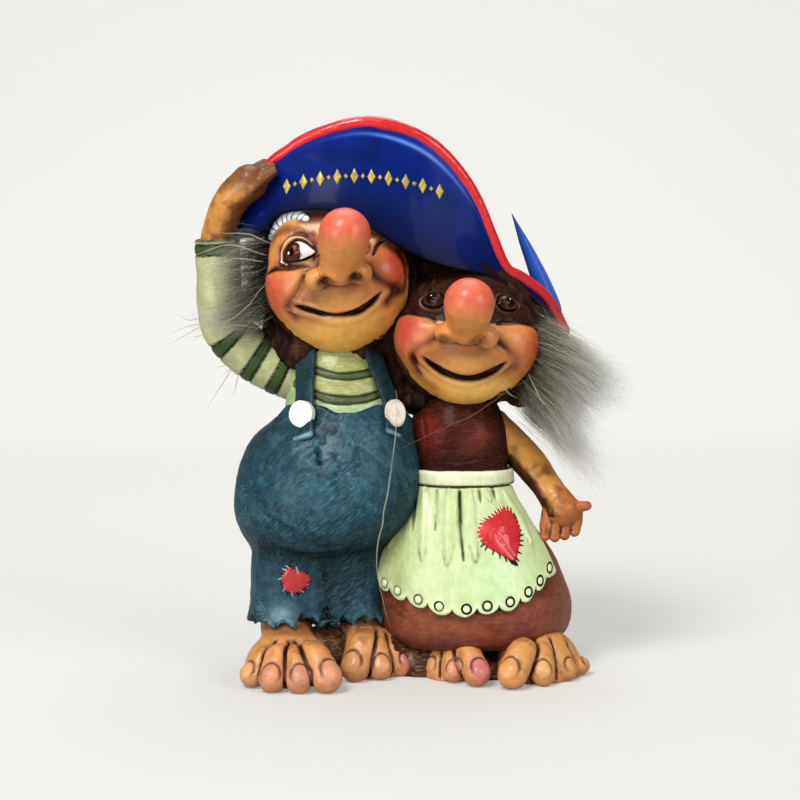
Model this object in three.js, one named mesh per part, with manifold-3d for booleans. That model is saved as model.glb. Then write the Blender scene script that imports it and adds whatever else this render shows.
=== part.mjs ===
// A souvenir figurine of two trolls who share one hat: painted resin castings, glued together, with tufts of fur.
// Millimetres, +Z up. The trolls face -Y, left and right are their own, and the origin is under the base.
import * as THREE from "three";
import { mergeVertices } from "three/addons/utils/BufferGeometryUtils.js";
import Module from "manifold-3d";

const wasm = await Module();
wasm.setup();

// Fits
const glueGap = 0.3; // between neighbouring castings
const spigot = 3; // how far a glued piece reaches into the one that carries it

// Ground base
const base = { x: 3, y: 4, halfLength: 39, halfDepth: 13, height: 9.5, bevel: 0.72 };

// Tall troll's trunk, from the crotch to the neck
const tallTrunk = [
  { z: 32.5, x: -22.5, y: -2, halfWidth: 16, halfDepth: 12 },
  { z: 37.5, x: -21.8, y: -3.5, halfWidth: 20, halfDepth: 17.5 },
  { z: 43.5, x: -20.5, y: -4.5, halfWidth: 23.2, halfDepth: 19.8 },
  { z: 50, x: -19.8, y: -4.5, halfWidth: 24, halfDepth: 20 },
  { z: 57, x: -19, y: -4, halfWidth: 23.4, halfDepth: 19 },
  { z: 64, x: -18, y: -3, halfWidth: 21, halfDepth: 16.8 },
  { z: 70, x: -15.4, y: -2, halfWidth: 17, halfDepth: 14.4 },
  { z: 77, x: -15.8, y: -1, halfWidth: 15, halfDepth: 12.8 },
  { z: 85, x: -16.5, y: 0, halfWidth: 13, halfDepth: 11 },
  { z: 92, x: -16.5, y: 0, halfWidth: 8, halfDepth: 7.4 },
];
const trouserTop = 70; // at the sides and the back
const trouserCloth = 1.3; // how far the trousers stand out past the shirt
const bibTop = 74;
const bibBottomHalfWidth = 13;
const bibTopHalfWidth = 10;
const bibX = -14.5;

// Trouser legs
const hemZ = 11.5;
const hemFlare = 1.1;
const hemTears = 5;
const hemTearWidth = 3.4;
const hemTearHeight = 4.2;
const rightLeg = { x: -31, y: -6.5, radius: 10.2 };
const leftLeg = { x: -12, y: -3, radius: 9.4 };

// Straps, buttons and the knee patch
const strapHalfWidth = 3.3;
const strapCloth = 1.2;
const strapBottom = 64.5;
const strapTop = 96;
const rightStrap = { topX: -25.6, buttonX: -25.6 };
const leftStrap = { topX: -6.6, buttonX: -1.8 };
const strapsMeetZ = 62; // where they meet at the back
const buttonZ = 71.6;
const buttonRadius = 3.6;
const buttonHeight = 1.5;
const kneePatch = { x: -27.8, z: 28.2, radius: 3.9, height: 0.9 };

// Heads: the half sizes of each, and where its features sit as { yaw, pitch } in degrees seen from its middle.
// The sizes of eyes and noses are shares of the head's half width.
const tallHead = {
  x: -16.7,
  y: -3,
  z: 107.6,
  halfWidth: 19.3,
  halfDepth: 16.8,
  halfHeight: 21,
  tilt: 8,
  swells: { cheek: 0.07, brow: 0.1 },
  eyes: { yaw: 30, pitch: 23, radius: 0.228 },
  nose: {
    yaw: 3,
    pitch: 4,
    shares: { length: 0.674, lift: 0.508, aside: 0.171, bulb: 0.337, bridge: 0.342, wing: 0.181, spread: 0.321 },
  },
  smile: { yaw: 44, pitch: -12, sag: 16 },
};
const shortHead = {
  x: 17.8,
  y: -4,
  z: 91.8,
  halfWidth: 19,
  halfDepth: 16.3,
  halfHeight: 18.6,
  tilt: -5,
  swells: { cheek: 0.07, brow: 0.02 },
  eyes: { yaw: 36, pitch: 29, radius: 0.189 },
  nose: {
    yaw: -2,
    pitch: 8,
    shares: { length: 0.684, lift: 0.389, aside: -0.021, bulb: 0.337, bridge: 0.358, wing: 0.189, spread: 0.295 },
  },
  smile: { yaw: 41, pitch: -15, sag: 17 },
};
const smileRadius = 0.75;
const eyeSeat = 0.24; // how deep an eye sits, as a share of its radius
const eyeFlatness = 0.62; // its depth, as a share of its width
const noseRoot = 0.8; // a nose's thickness inside the head, as a share of its bridge
const eyebrow = { radius: 1.4, out: 0.5, outer: [-66, 38], middle: [-45, 50], inner: [-24, 47] };
const capThickness = 1.5; // modelled hair that stands out round the face
const capSetback = 3.2;

// Arms, from the shoulder to the hand
const sleeveRadius = 6.6;
const forearmRadius = 4.5;
const tallRightArm = {
  shoulder: [-26, 2, 78],
  elbow: [-48, -0.5, 92],
  cuff: [-49.4, -4, 118],
  wrist: [-45.2, -9, 128],
  palm: [-40, -10.5, 132.9],
};
const tallLeftSleeveRadius = 5.2;
const tallLeftArm = {
  shoulder: [-7, 4, 77],
  elbow: [8, 15.5, 72],
  cuff: [20, 14.5, 68],
  palm: [25, 11.5, 65.5],
};
const bareArmRadius = 4.5;
const shortLeftArm = {
  shoulder: [25.5, -0.5, 66.8],
  elbow: [35, -0.5, 57.5],
  wrist: [41, -3.5, 49.5],
  palm: [44.2, -6.5, 44.4],
};
const shortRightArm = {
  shoulder: [8, 5, 65],
  elbow: [-2, 16.5, 60],
  palm: [-16, 17.5, 56],
};
const fingerRadius = 1.5;

// Short troll's dress, from the hem to the neck
const dress = [
  { z: 7.6, x: 19.5, y: -0.5, halfWidth: 22, halfDepth: 17.5 },
  { z: 10.5, x: 20, y: -0.8, halfWidth: 25.5, halfDepth: 20.5 },
  { z: 15, x: 20.3, y: -1, halfWidth: 27, halfDepth: 22 },
  { z: 21, x: 19.8, y: -1.2, halfWidth: 27, halfDepth: 21.8 },
  { z: 29.5, x: 18.5, y: -1.4, halfWidth: 24.9, halfDepth: 20 },
  { z: 39, x: 17.6, y: -1.6, halfWidth: 19.8, halfDepth: 16.4 },
  { z: 48, x: 17.3, y: -1.8, halfWidth: 14, halfDepth: 12.4 },
  { z: 54, x: 17, y: -2, halfWidth: 12.6, halfDepth: 11.2 },
  { z: 61, x: 16.6, y: -2, halfWidth: 13.2, halfDepth: 11.6 },
  { z: 68, x: 16, y: -1.6, halfWidth: 13, halfDepth: 11.2 },
  { z: 74, x: 16, y: -1, halfWidth: 10, halfDepth: 8.8 },
  { z: 80, x: 16.4, y: -1, halfWidth: 6.6, halfDepth: 6.4 },
];
const waistZ = 53;

// Apron, its band and the heart on it
const apron = { x: 17.2, halfWidth: 24.8, topHalfWidth: 13, hemZ: 22.6, hemRise: 8.6, cloth: 1.2 };
const scallops = 11;
const scallopDrop = 2.2;
const band = { halfHeight: 2.2, cloth: 1.4 };
const heart = { x: 26.4, z: 40, halfWidth: 5.9, height: 13, tilt: 23, cloth: 1 };

// Feet: the ankle, the instep and the toes from the smallest to the big one
const ankleTop = 17;
const feet = {
  tallRight: {
    ankle: { x: -31, y: -8, radius: 7 },
    instep: { x: -30, y: -16.5, halfWidth: 12.6, halfLength: 12, height: 12.4, yaw: 3 },
    toes: [
      { x: -39, y: -24.5, radius: 3.5 },
      { x: -33.2, y: -29.6, radius: 3.9 },
      { x: -26.3, y: -30.4, radius: 3.9 },
      { x: -19.2, y: -30, radius: 4.5 },
    ],
  },
  tallLeft: {
    ankle: { x: -11.4, y: -4.5, radius: 5.6 },
    instep: { x: -7.6, y: -9.8, halfWidth: 10, halfLength: 8.8, height: 12, yaw: 30 },
    toes: [
      { x: 3.6, y: -7.5, radius: 2.7 },
      { x: -0.2, y: -12.5, radius: 3.1 },
      { x: -5.4, y: -16.6, radius: 3.5 },
      { x: -12, y: -18.3, radius: 4.2 },
    ],
  },
  shortRight: {
    ankle: { x: 14, y: -5, radius: 5 },
    instep: { x: 14.8, y: -12.4, halfWidth: 9.4, halfLength: 9, height: 9.5, yaw: -36 },
    toes: [
      { x: 7.6, y: -9.5, radius: 2.4 },
      { x: 10, y: -14.6, radius: 2.7 },
      { x: 14.4, y: -19.6, radius: 3.1 },
      { x: 20.4, y: -23.4, radius: 3.9 },
    ],
  },
  shortLeft: {
    ankle: { x: 33, y: -6, radius: 5.6 },
    instep: { x: 37.6, y: -12.6, halfWidth: 13, halfLength: 11, height: 12, yaw: 30 },
    toes: [
      { x: 48.8, y: -11.8, radius: 2.7 },
      { x: 44.4, y: -17.5, radius: 3.1 },
      { x: 37.7, y: -22.8, radius: 3.5 },
      { x: 29.6, y: -26, radius: 4.3 },
    ],
  },
};

// Hat: its edges as [x, share of the hat's height], from the trolls' right to their left
const hat = { bottomZ: 90, height: 60 };
const brimLower = [
  [-45, 0.4583],
  [-37, 0.4917],
  [-31, 0.5767],
  [-18, 0.5867],
  [-7.7, 0.5067],
  [2, 0.41],
  [12, 0.3467],
  [24, 0.3033],
  [33, 0.2333],
  [40, 0.14],
  [45.4, 0.0083],
];
const brimUpper = [
  [-45, 0.4917],
  [-38, 0.7367],
  [-31, 0.8433],
  [-21, 0.9317],
  [-7, 0.9733],
  [7.8, 0.8883],
  [19.2, 0.6767],
  [27.6, 0.36],
  [33, 0.2883],
  [40, 0.1967],
  [45.4, 0.045],
];
const brim = { thickness: 2.4, front: -18.4, middleX: -8, reach: 42, wrap: 13.5, lean: 4.5 };
const binding = { radius: 1.5, swell: 0.3 };
const crown = { y: 4.5, halfDepth: 15.5 };
const crownSpan = [
  { x: -41, low: 0.5167, high: 0.5667 },
  { x: -35, low: 0.5, high: 0.65 },
  { x: -18, low: 0.3667, high: 0.775 },
  { x: -4, low: 0.45, high: 0.7667 },
  { x: 8, low: 0.3833, high: 0.6333 },
  { x: 18, low: 0.2833, high: 0.4667 },
  { x: 28, low: 0.2167, high: 0.3167 },
  { x: 34, low: 0.1833, high: 0.25 },
];
const backLower = [
  [-41, 0.4733],
  [-30, 0.4933],
  [-10, 0.4667],
  [8, 0.3733],
  [24, 0.24],
  [36, 0.1233],
  [46, 0.0033],
];
const backUpper = [
  [-41, 0.5567],
  [-30, 0.65],
  [-10, 0.6667],
  [8, 0.5433],
  [24, 0.3733],
  [36, 0.2333],
  [46, 0.1],
];
const backBrim = { thickness: 2.4, middleX: 1, reach: 50, offset: 0.6 };
const horn = { foot: [43.6, 11.5, 0.0333], middle: [38.9, 12, 0.3], tip: [31.4, 12.5, 0.58], halfWidth: 3.2, halfDepth: 5 };

// Fur tufts: the locks stand out sideways from the hair
const tallTuft = [
  { x: -32, y: -4, z: 106, halfDepth: 4, halfHeight: 10 },
  { x: -41, y: -11.5, z: 106, halfDepth: 4, halfHeight: 12 },
  { x: -48, y: -13, z: 104.5, halfDepth: 3.8, halfHeight: 12.5 },
  { x: -54, y: -12.5, z: 100, halfDepth: 3, halfHeight: 9.5 },
  { x: -58.5, y: -12, z: 95.5, halfDepth: 1.4, halfHeight: 3.5 },
];
const shortTuft = [
  { x: 32, y: -4, z: 85, halfDepth: 4, halfHeight: 9 },
  { x: 41, y: -9, z: 82, halfDepth: 4.2, halfHeight: 11.5 },
  { x: 48.5, y: -10.5, z: 75, halfDepth: 3.8, halfHeight: 14 },
  { x: 55.5, y: -10.5, z: 73, halfDepth: 3, halfHeight: 10 },
  { x: 64, y: -10, z: 77, halfDepth: 1.2, halfHeight: 1.6 },
];

const vector = ([x, y, z]) => new THREE.Vector3(x, y, z);
const radians = THREE.MathUtils.degToRad;
const mix = THREE.MathUtils.lerp;

// A closed geometry as a solid that can be cut and joined
function solidOf(geometry) {
  const bare = geometry.clone();
  bare.deleteAttribute("normal");
  bare.deleteAttribute("uv");
  const merged = mergeVertices(bare, 1e-4);
  const mesh = new wasm.Mesh({
    numProp: 3,
    vertProperties: merged.attributes.position.array,
    triVerts: new Uint32Array(merged.index.array),
  });
  return new wasm.Manifold(mesh);
}

// The surface of a solid
function geometryOf(solid) {
  const mesh = solid.getMesh();
  const geometry = new THREE.BufferGeometry();
  geometry.setAttribute("position", new THREE.BufferAttribute(mesh.vertProperties, 3));
  geometry.setIndex(new THREE.BufferAttribute(mesh.triVerts, 1));
  geometry.computeVertexNormals();
  return geometry;
}

const joined = (solids) => solids.reduce((all, one) => all.add(one));

// A skin over rings of equally many points that turn left as seen from the last ring, with a fan over each end
function skinned(rings) {
  const count = rings[0].length;
  const points = rings.flat();
  const index = [];
  const middleOf = (ring) => ring.reduce((sum, p) => sum.add(p), new THREE.Vector3()).divideScalar(count);
  points.push(middleOf(rings[0]), middleOf(rings[rings.length - 1]));
  const first = points.length - 2;
  const top = first - count;
  for (let i = 0; i < count; i++) {
    const next = (i + 1) % count;
    for (let low = 0; low < top; low += count) {
      const high = low + count;
      index.push(low + i, low + next, high + next);
      index.push(low + i, high + next, high + i);
    }
    index.push(first, next, i);
    index.push(first + 1, top + i, top + next);
  }
  const geometry = new THREE.BufferGeometry().setFromPoints(points);
  geometry.setIndex(index);
  return solidOf(geometry);
}

// A ring of points round a centre, in the plane of two directions
function ringOf(centre, across, up, halfAcross, halfUp, sides) {
  return Array.from({ length: sides }, (_, i) => {
    const angle = (2 * Math.PI * i) / sides;
    const point = centre.clone().addScaledVector(across, halfAcross * Math.cos(angle));
    return point.addScaledVector(up, halfUp * Math.sin(angle));
  });
}

// A limb with round ends through a few points, with a radius at each
function limb(points, radii, grow, { sides = 10, steps = 6, domes = [65, 35] } = {}) {
  const curve = new THREE.CatmullRomCurve3(points, false, "centripetal");
  const frames = curve.computeFrenetFrames(steps, false);
  const radiusAt = (share) => {
    const place = share * (radii.length - 1);
    const low = Math.min(Math.floor(place), radii.length - 2);
    return mix(radii[low], radii[low + 1], place - low) + grow;
  };
  const rings = [];
  const addRing = (step, angle) => {
    const share = step / steps;
    const radius = radiusAt(share);
    const centre = curve.getPointAt(share).addScaledVector(frames.tangents[step], radius * Math.sin(angle));
    const size = radius * Math.cos(angle);
    rings.push(ringOf(centre, frames.normals[step], frames.binormals[step], size, size, sides));
  };
  const angles = domes.map(radians);
  angles.forEach((angle) => addRing(0, -angle));
  for (let step = 0; step <= steps; step++) addRing(step, 0);
  angles.reverse().forEach((angle) => addRing(steps, angle));
  return skinned(rings);
}

// A trunk or a skirt: level ellipses that pass smoothly through the sections
function trunk(sections, grow, { sides = 18, rows = 9 } = {}) {
  const middle = new THREE.CatmullRomCurve3(sections.map((s) => new THREE.Vector3(s.x, s.y, s.z)));
  const half = new THREE.CatmullRomCurve3(sections.map((s) => new THREE.Vector3(s.halfWidth, s.halfDepth, s.z)));
  const across = new THREE.Vector3(1, 0, 0);
  const back = new THREE.Vector3(0, 1, 0);
  const rings = [];
  for (let row = 0; row <= rows; row++) {
    const centre = middle.getPoint(row / rows);
    const size = half.getPoint(row / rows);
    if (row === 0) centre.z -= grow;
    if (row === rows) centre.z += grow;
    rings.push(ringOf(centre, across, back, size.x + grow, size.y + grow, sides));
  }
  return skinned(rings);
}

// The same along X: upright ellipses
function span(sections, grow, { sides = 12, rows = 6 } = {}) {
  const middle = new THREE.CatmullRomCurve3(sections.map((s) => new THREE.Vector3(s.x, s.y, s.z)));
  const half = new THREE.CatmullRomCurve3(sections.map((s) => new THREE.Vector3(s.x, s.halfDepth, s.halfHeight)));
  const along = Math.sign(sections[1].x - sections[0].x);
  const across = new THREE.Vector3(0, along, 0);
  const up = new THREE.Vector3(0, 0, 1);
  const rings = [];
  for (let row = 0; row <= rows; row++) {
    const centre = middle.getPoint(row / rows);
    const size = half.getPoint(row / rows);
    if (row === 0) centre.x -= along * grow;
    if (row === rows) centre.x += along * grow;
    rings.push(ringOf(centre, across, up, size.y + grow, size.z + grow, sides));
  }
  return skinned(rings);
}

// A wall along Y with the given outline of [x, z] points
function wall(outline, near = -90, far = 90) {
  const shape = new THREE.Shape(outline.map(([x, z]) => new THREE.Vector2(x, z)));
  const geometry = new THREE.ExtrudeGeometry(shape, { depth: far - near, bevelEnabled: false });
  return solidOf(geometry.rotateX(Math.PI / 2).translate(0, far, 0));
}

const rectangle = (left, right, low, high) => [
  [left, low],
  [right, low],
  [right, high],
  [left, high],
];

const circle = (x, z, radius, sides = 14) =>
  Array.from({ length: sides }, (_, i) => {
    const angle = (2 * Math.PI * i) / sides;
    return [x + radius * Math.cos(angle), z + radius * Math.sin(angle)];
  });

const levelSlab = (low, high) => wall(rectangle(-90, 90, low, high));

// A layer of cloth of some height, lying a distance off a trunk, within a region
function layer(sections, off, height, region, grow) {
  const inner = trunk(sections, off - grow / 2);
  return trunk(sections, off + height + grow).subtract(inner).intersect(region);
}

function baseSlab(grow) {
  const section = (z, share) => ({
    z,
    x: base.x,
    y: base.y,
    halfWidth: base.halfLength * share,
    halfDepth: base.halfDepth * share,
  });
  const slab = [section(0, 1), section(base.height / 2, 1), section(base.height, base.bevel)];
  return trunk(slab, grow, { sides: 20, rows: 3 });
}

function foot({ ankle, instep, toes }, grow) {
  const middle = new THREE.Vector3(instep.x, instep.y, 0);
  const arch = new THREE.SphereGeometry(1, 12, 8)
    .rotateX(Math.PI / 2)
    .scale(instep.halfWidth + grow, instep.halfLength + grow, instep.height + grow)
    .rotateZ(radians(instep.yaw))
    .translate(instep.x, instep.y, 1);
  const shin = limb(
    [new THREE.Vector3(instep.x, instep.y, 3), new THREE.Vector3(ankle.x, ankle.y, ankleTop - ankle.radius)],
    [ankle.radius, ankle.radius],
    grow,
    { sides: 8, steps: 1 },
  );
  const digits = toes.map(({ x, y, radius }) => {
    const tip = new THREE.Vector3(x, y, radius * 0.9);
    const root = tip.clone().lerp(middle, 0.45).setZ(radius * 1.5);
    return limb([root, tip], [radius, radius], grow, { sides: 7, steps: 1, domes: [50] });
  });
  return joined([solidOf(arch), shin, ...digits]).subtract(levelSlab(-40, -grow));
}

function trouserLeg({ x, y, radius }, grow) {
  const section = (z, swell, shift) => ({
    z,
    x: x + shift,
    y,
    halfWidth: radius + swell,
    halfDepth: radius + swell + 0.6,
  });
  const side = Math.sign(tallTrunk[0].x - x);
  const sections = [section(hemZ, hemFlare, 0), section(20, 0, 0.2 * side), section(30, 0.4, 0.8 * side), section(42, 1, 2 * side)];
  return trunk(sections, grow, { sides: 16, rows: 4 });
}

// Wedges torn out of a trouser hem
function tears({ x, y, radius }) {
  return Array.from({ length: hemTears }, (_, i) => {
    const angle = (2 * Math.PI * (i + 0.4)) / hemTears;
    const wedge = new THREE.ConeGeometry(hemTearWidth / 2, hemTearHeight, 3).rotateX(Math.PI / 2);
    const reach = radius + hemFlare;
    const height = hemZ + hemTearHeight / 2 - glueGap;
    return solidOf(wedge.translate(x + reach * Math.cos(angle), y + reach * Math.sin(angle), height));
  });
}

function shirt(grow) {
  return trunk(tallTrunk, grow - trouserCloth).intersect(levelSlab(trouserTop - spigot - grow, strapTop));
}

function dungarees(grow) {
  const bib = [
    [bibX - bibBottomHalfWidth - grow, trouserTop - 2 * spigot],
    [bibX + bibBottomHalfWidth + grow, trouserTop - 2 * spigot],
    [bibX + bibTopHalfWidth + grow, bibTop + grow],
    [bibX - bibTopHalfWidth - grow, bibTop + grow],
  ];
  const covered = levelSlab(0, trouserTop + grow).add(wall(bib, -80, tallTrunk[0].y));
  const body = trunk(tallTrunk, grow).intersect(covered);
  const legs = joined([rightLeg, leftLeg].map((leg) => trouserLeg(leg, grow)));
  const torn = joined([rightLeg, leftLeg].flatMap(tears));
  return joined([body, legs]).subtract(torn);
}

// A strap runs over the shoulder and slants to the middle of the back
function strap({ topX, buttonX }, grow) {
  const half = strapHalfWidth + grow;
  const side = Math.sign(buttonX - bibX);
  const meetX = tallTrunk[0].x + side * (strapHalfWidth + glueGap / 2);
  const front = [
    [buttonX - half, strapBottom - grow],
    [buttonX + half, strapBottom - grow],
    [buttonX + half, buttonZ],
    [topX + half, strapTop],
    [topX - half, strapTop],
    [buttonX - half, buttonZ],
  ];
  const back = [
    [meetX - half, strapsMeetZ - grow],
    [meetX + half, strapsMeetZ - grow],
    [topX + half, strapTop],
    [topX - half, strapTop],
  ];
  const region = wall(front, -90, 0).add(wall(back, -1, 90));
  return layer(tallTrunk, glueGap - trouserCloth, trouserCloth - glueGap + strapCloth, region, grow);
}

function button({ buttonX }, grow) {
  const region = wall(circle(buttonX, buttonZ, buttonRadius + grow), -90, -1);
  return layer(tallTrunk, strapCloth + glueGap, buttonHeight, region, grow);
}

function patch(grow) {
  const disc = wall(circle(kneePatch.x, kneePatch.z, kneePatch.radius + grow, 12), -90, rightLeg.y);
  const outer = trouserLeg(rightLeg, glueGap + kneePatch.height + grow);
  return outer.subtract(trouserLeg(rightLeg, glueGap - grow / 2)).intersect(disc);
}

// Directions on a head's ball
function wayAt(yaw, pitch) {
  const [turn, rise] = [yaw, pitch].map(radians);
  return new THREE.Vector3(Math.sin(turn) * Math.cos(rise), -Math.cos(turn) * Math.cos(rise), Math.sin(rise));
}

const headSwells = [
  { way: wayAt(-58, -14), size: "cheek", reach: 0.5 },
  { way: wayAt(58, -14), size: "cheek", reach: 0.5 },
  { way: wayAt(-52, 46), size: "brow", reach: 0.55 },
  { way: wayAt(52, 46), size: "brow", reach: 0.55 },
];

// A point on a head in a direction, lifted off its skin, in the head's own upright frame
function onSkin(head, way, out = 0) {
  let share = 1;
  for (const swell of headSwells) {
    const apart = way.angleTo(swell.way) / swell.reach;
    share += head.swells[swell.size] * Math.exp(-apart * apart);
  }
  const size = new THREE.Vector3(head.halfWidth, head.halfDepth, head.halfHeight).multiplyScalar(share).addScalar(out);
  return way.clone().multiply(size);
}

// From a head's own frame to its place
function placed(head, point) {
  return point.applyAxisAngle(new THREE.Vector3(0, -1, 0), radians(head.tilt)).add(new THREE.Vector3(head.x, head.y, head.z));
}

function skull(head, grow, { across = 16, down = 10 } = {}) {
  const ball = new THREE.SphereGeometry(1, across, down).rotateX(Math.PI / 2);
  const place = ball.attributes.position;
  for (let i = 0; i < place.count; i++) {
    const way = new THREE.Vector3().fromBufferAttribute(place, i).normalize();
    const point = placed(head, onSkin(head, way, grow));
    place.setXYZ(i, point.x, point.y, point.z);
  }
  return solidOf(ball);
}

function face(head, grow) {
  const { yaw, pitch, sag } = head.smile;
  const dip = (share) => pitch - sag * (1 - share * share);
  const corners = [-1, -0.5, 0, 0.5, 1].map((share) => placed(head, onSkin(head, wayAt(yaw * share, dip(share)))));
  const smile = limb(corners, [smileRadius, smileRadius], 0, { sides: 6, steps: 8 });
  return skull(head, grow).subtract(smile);
}

function eye(head, side, grow) {
  const { yaw, pitch } = head.eyes;
  const radius = head.eyes.radius * head.halfWidth;
  const centre = placed(head, onSkin(head, wayAt(side * yaw, pitch), -radius * eyeSeat));
  const ball = new THREE.SphereGeometry(1, 10, 8)
    .rotateX(Math.PI / 2)
    .scale(radius + grow, radius * eyeFlatness + grow, radius + grow)
    .rotateX(-radians(pitch))
    .rotateZ(radians(side * yaw))
    .rotateY(-radians(head.tilt));
  return solidOf(ball.translate(centre.x, centre.y, centre.z));
}

function nose(head, grow) {
  const { yaw, pitch, shares } = head.nose;
  const size = (name) => shares[name] * head.halfWidth;
  const [length, lift, aside, bulb, bridge, wing, spread] = Object.keys(shares).map(size);
  const root = onSkin(head, wayAt(yaw, pitch), -spigot);
  const shift = (x, y, z) => placed(head, root.clone().add(new THREE.Vector3(x, y, z)));
  const ridge = limb(
    [shift(0, 0, 0), shift(aside / 2, -length / 2, lift * 0.45), shift(aside, -length, lift)],
    [bridge * noseRoot, bridge, bulb],
    grow,
    { sides: 10, steps: 4 },
  );
  const wings = [-1, 1].map((side) => {
    const centre = shift(side * spread + aside / 3, -length * 0.42, -bridge * 0.1);
    return solidOf(new THREE.SphereGeometry(wing + grow, 10, 6).rotateX(Math.PI / 2).translate(...centre.toArray()));
  });
  return joined([ridge, ...wings]);
}

function brow(grow) {
  const points = [eyebrow.outer, eyebrow.middle, eyebrow.inner].map(([yaw, pitch]) =>
    placed(tallHead, onSkin(tallHead, wayAt(yaw, pitch), eyebrow.out)),
  );
  return limb(points, [eyebrow.radius * 0.7, eyebrow.radius, eyebrow.radius], grow, { sides: 6, steps: 4 });
}

// Modelled hair round a face: a skull that is larger and set back
function hairCap(head, grow) {
  const behind = { ...head, y: head.y + capSetback };
  return skull(behind, capThickness + grow, { across: 14, down: 8 });
}

// Fingers that reach from the palm along a direction, side by side
function fingers(palm, along, beside, count, radius, length, grow) {
  return Array.from({ length: count }, (_, i) => {
    const offset = (i - (count - 1) / 2) * radius * 1.7;
    const root = palm.clone().addScaledVector(beside, offset);
    const tip = root.clone().addScaledVector(along, length);
    return limb([root, tip], [radius, radius * 0.85], grow, { sides: 6, steps: 1, domes: [45] });
  });
}

function tallRightSleeve(grow) {
  const points = [tallRightArm.shoulder, tallRightArm.elbow, tallRightArm.cuff].map(vector);
  const radius = sleeveRadius;
  return limb(points, [radius, radius, radius], grow, { sides: 12, steps: 8 });
}

function tallRightHand(grow) {
  const { elbow, cuff, wrist, palm } = tallRightArm;
  const root = vector(cuff).lerp(vector(elbow), (2 * spigot) / 26);
  const radius = forearmRadius;
  const arm = limb([root, vector(wrist), vector(palm)], [radius, radius, radius * 1.05], grow);
  const along = new THREE.Vector3(0.75, 0.25, 0.6).normalize();
  const beside = new THREE.Vector3(-0.3, 0.8, 0.3).normalize();
  return joined([arm, ...fingers(vector(palm), along, beside, 4, fingerRadius, 7.5, grow)]);
}

function tallLeftSleeve(grow) {
  const points = [tallLeftArm.shoulder, tallLeftArm.elbow, tallLeftArm.cuff].map(vector);
  const radius = tallLeftSleeveRadius;
  return limb(points, [radius, radius, radius], grow);
}

function tallLeftHand(grow) {
  const { elbow, cuff, palm } = tallLeftArm;
  const root = vector(cuff).lerp(vector(elbow), 0.1);
  const arm = limb([root, vector(palm)], [forearmRadius * 0.9, forearmRadius], grow, { steps: 3 });
  const along = new THREE.Vector3(0.75, -0.35, -0.55).normalize();
  const beside = new THREE.Vector3(0.5, 0, 0.8).normalize();
  return joined([arm, ...fingers(vector(palm), along, beside, 2, fingerRadius * 1.6, 5.5, grow)]);
}

function shortLeftHandAndArm(grow) {
  const { shoulder, elbow, wrist, palm } = shortLeftArm;
  const points = [shoulder, elbow, wrist, palm].map(vector);
  const arm = limb(points, [bareArmRadius * 1.05, bareArmRadius, bareArmRadius * 0.9, bareArmRadius * 1.1], grow);
  const along = new THREE.Vector3(-0.05, -0.35, -0.93).normalize();
  const beside = new THREE.Vector3(0.9, 0.1, 0.1).normalize();
  const thumb = limb(
    [vector(palm), vector(palm).add(new THREE.Vector3(6, -2, 1.5))],
    [fingerRadius, fingerRadius],
    grow,
    { sides: 6, steps: 1, domes: [45] },
  );
  return joined([arm, thumb, ...fingers(vector(palm), along, beside, 4, fingerRadius * 1.2, 8, grow)]);
}

function shortRightHandAndArm(grow) {
  const { shoulder, elbow, palm } = shortRightArm;
  const radius = bareArmRadius * 0.95;
  const arm = limb([shoulder, elbow, palm].map(vector), [radius, radius, radius], grow);
  const along = new THREE.Vector3(-0.95, -0.05, -0.3).normalize();
  const beside = new THREE.Vector3(-0.2, 0, 0.9).normalize();
  return joined([arm, ...fingers(vector(palm), along, beside, 4, fingerRadius, 7, grow)]);
}

function skirt(grow) {
  return trunk(dress, grow).intersect(levelSlab(0, waistZ + spigot / 2 + grow));
}

function bodice(grow) {
  return trunk(dress, grow).intersect(levelSlab(waistZ + glueGap - grow, 2 * waistZ));
}

// The apron's edge: straight sides and a scalloped hem that rises towards them
function apronOutline(grow) {
  const half = apron.halfWidth + grow;
  const hem = (share) => apron.hemZ - grow + apron.hemRise * share * share;
  const points = [
    [apron.x + apron.topHalfWidth + grow, waistZ],
    [apron.x - apron.topHalfWidth - grow, waistZ],
  ];
  const arc = 4;
  for (let i = 0; i < scallops * arc; i++) {
    const share = (2 * i) / (scallops * arc) - 1;
    const drop = scallopDrop * Math.sin((Math.PI * (i % arc)) / arc);
    points.push([apron.x + half * share, hem(share) - drop]);
  }
  points.push([apron.x + half, hem(1)]);
  return points;
}

function apronCloth(grow) {
  return layer(dress, glueGap, apron.cloth, wall(apronOutline(grow), -90, dress[0].y), grow);
}

function apronBand(grow) {
  const region = levelSlab(waistZ - band.halfHeight - grow, waistZ + band.halfHeight + grow);
  return layer(dress, glueGap, band.cloth, region, grow);
}

function heartOutline(grow) {
  const { x, z, halfWidth, height, tilt } = heart;
  const share = (halfWidth + grow) / halfWidth;
  const turn = radians(tilt);
  const points = [];
  const sides = 24;
  for (let i = 0; i < sides; i++) {
    const t = (2 * Math.PI * i) / sides;
    const across = halfWidth * share * Math.sin(t) ** 3;
    const up = (height / 29) * share * (13 * Math.cos(t) - 5 * Math.cos(2 * t) - 2 * Math.cos(3 * t) - Math.cos(4 * t));
    points.push([x + across * Math.cos(turn) - up * Math.sin(turn), z + across * Math.sin(turn) + up * Math.cos(turn)]);
  }
  return points;
}

function heartPatch(grow) {
  return layer(dress, 2 * glueGap + apron.cloth, heart.cloth, wall(heartOutline(grow), -90, dress[0].y), grow);
}

// How far the hat's front brim stands forward: bowed round the heads and leaning back towards its upper edge
function brimY(x, share) {
  const aside = (x - brim.middleX) / brim.reach;
  return brim.front + brim.wrap * aside * aside + brim.lean * share;
}

const hatZ = (share) => hat.bottomZ + hat.height * share;

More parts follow.
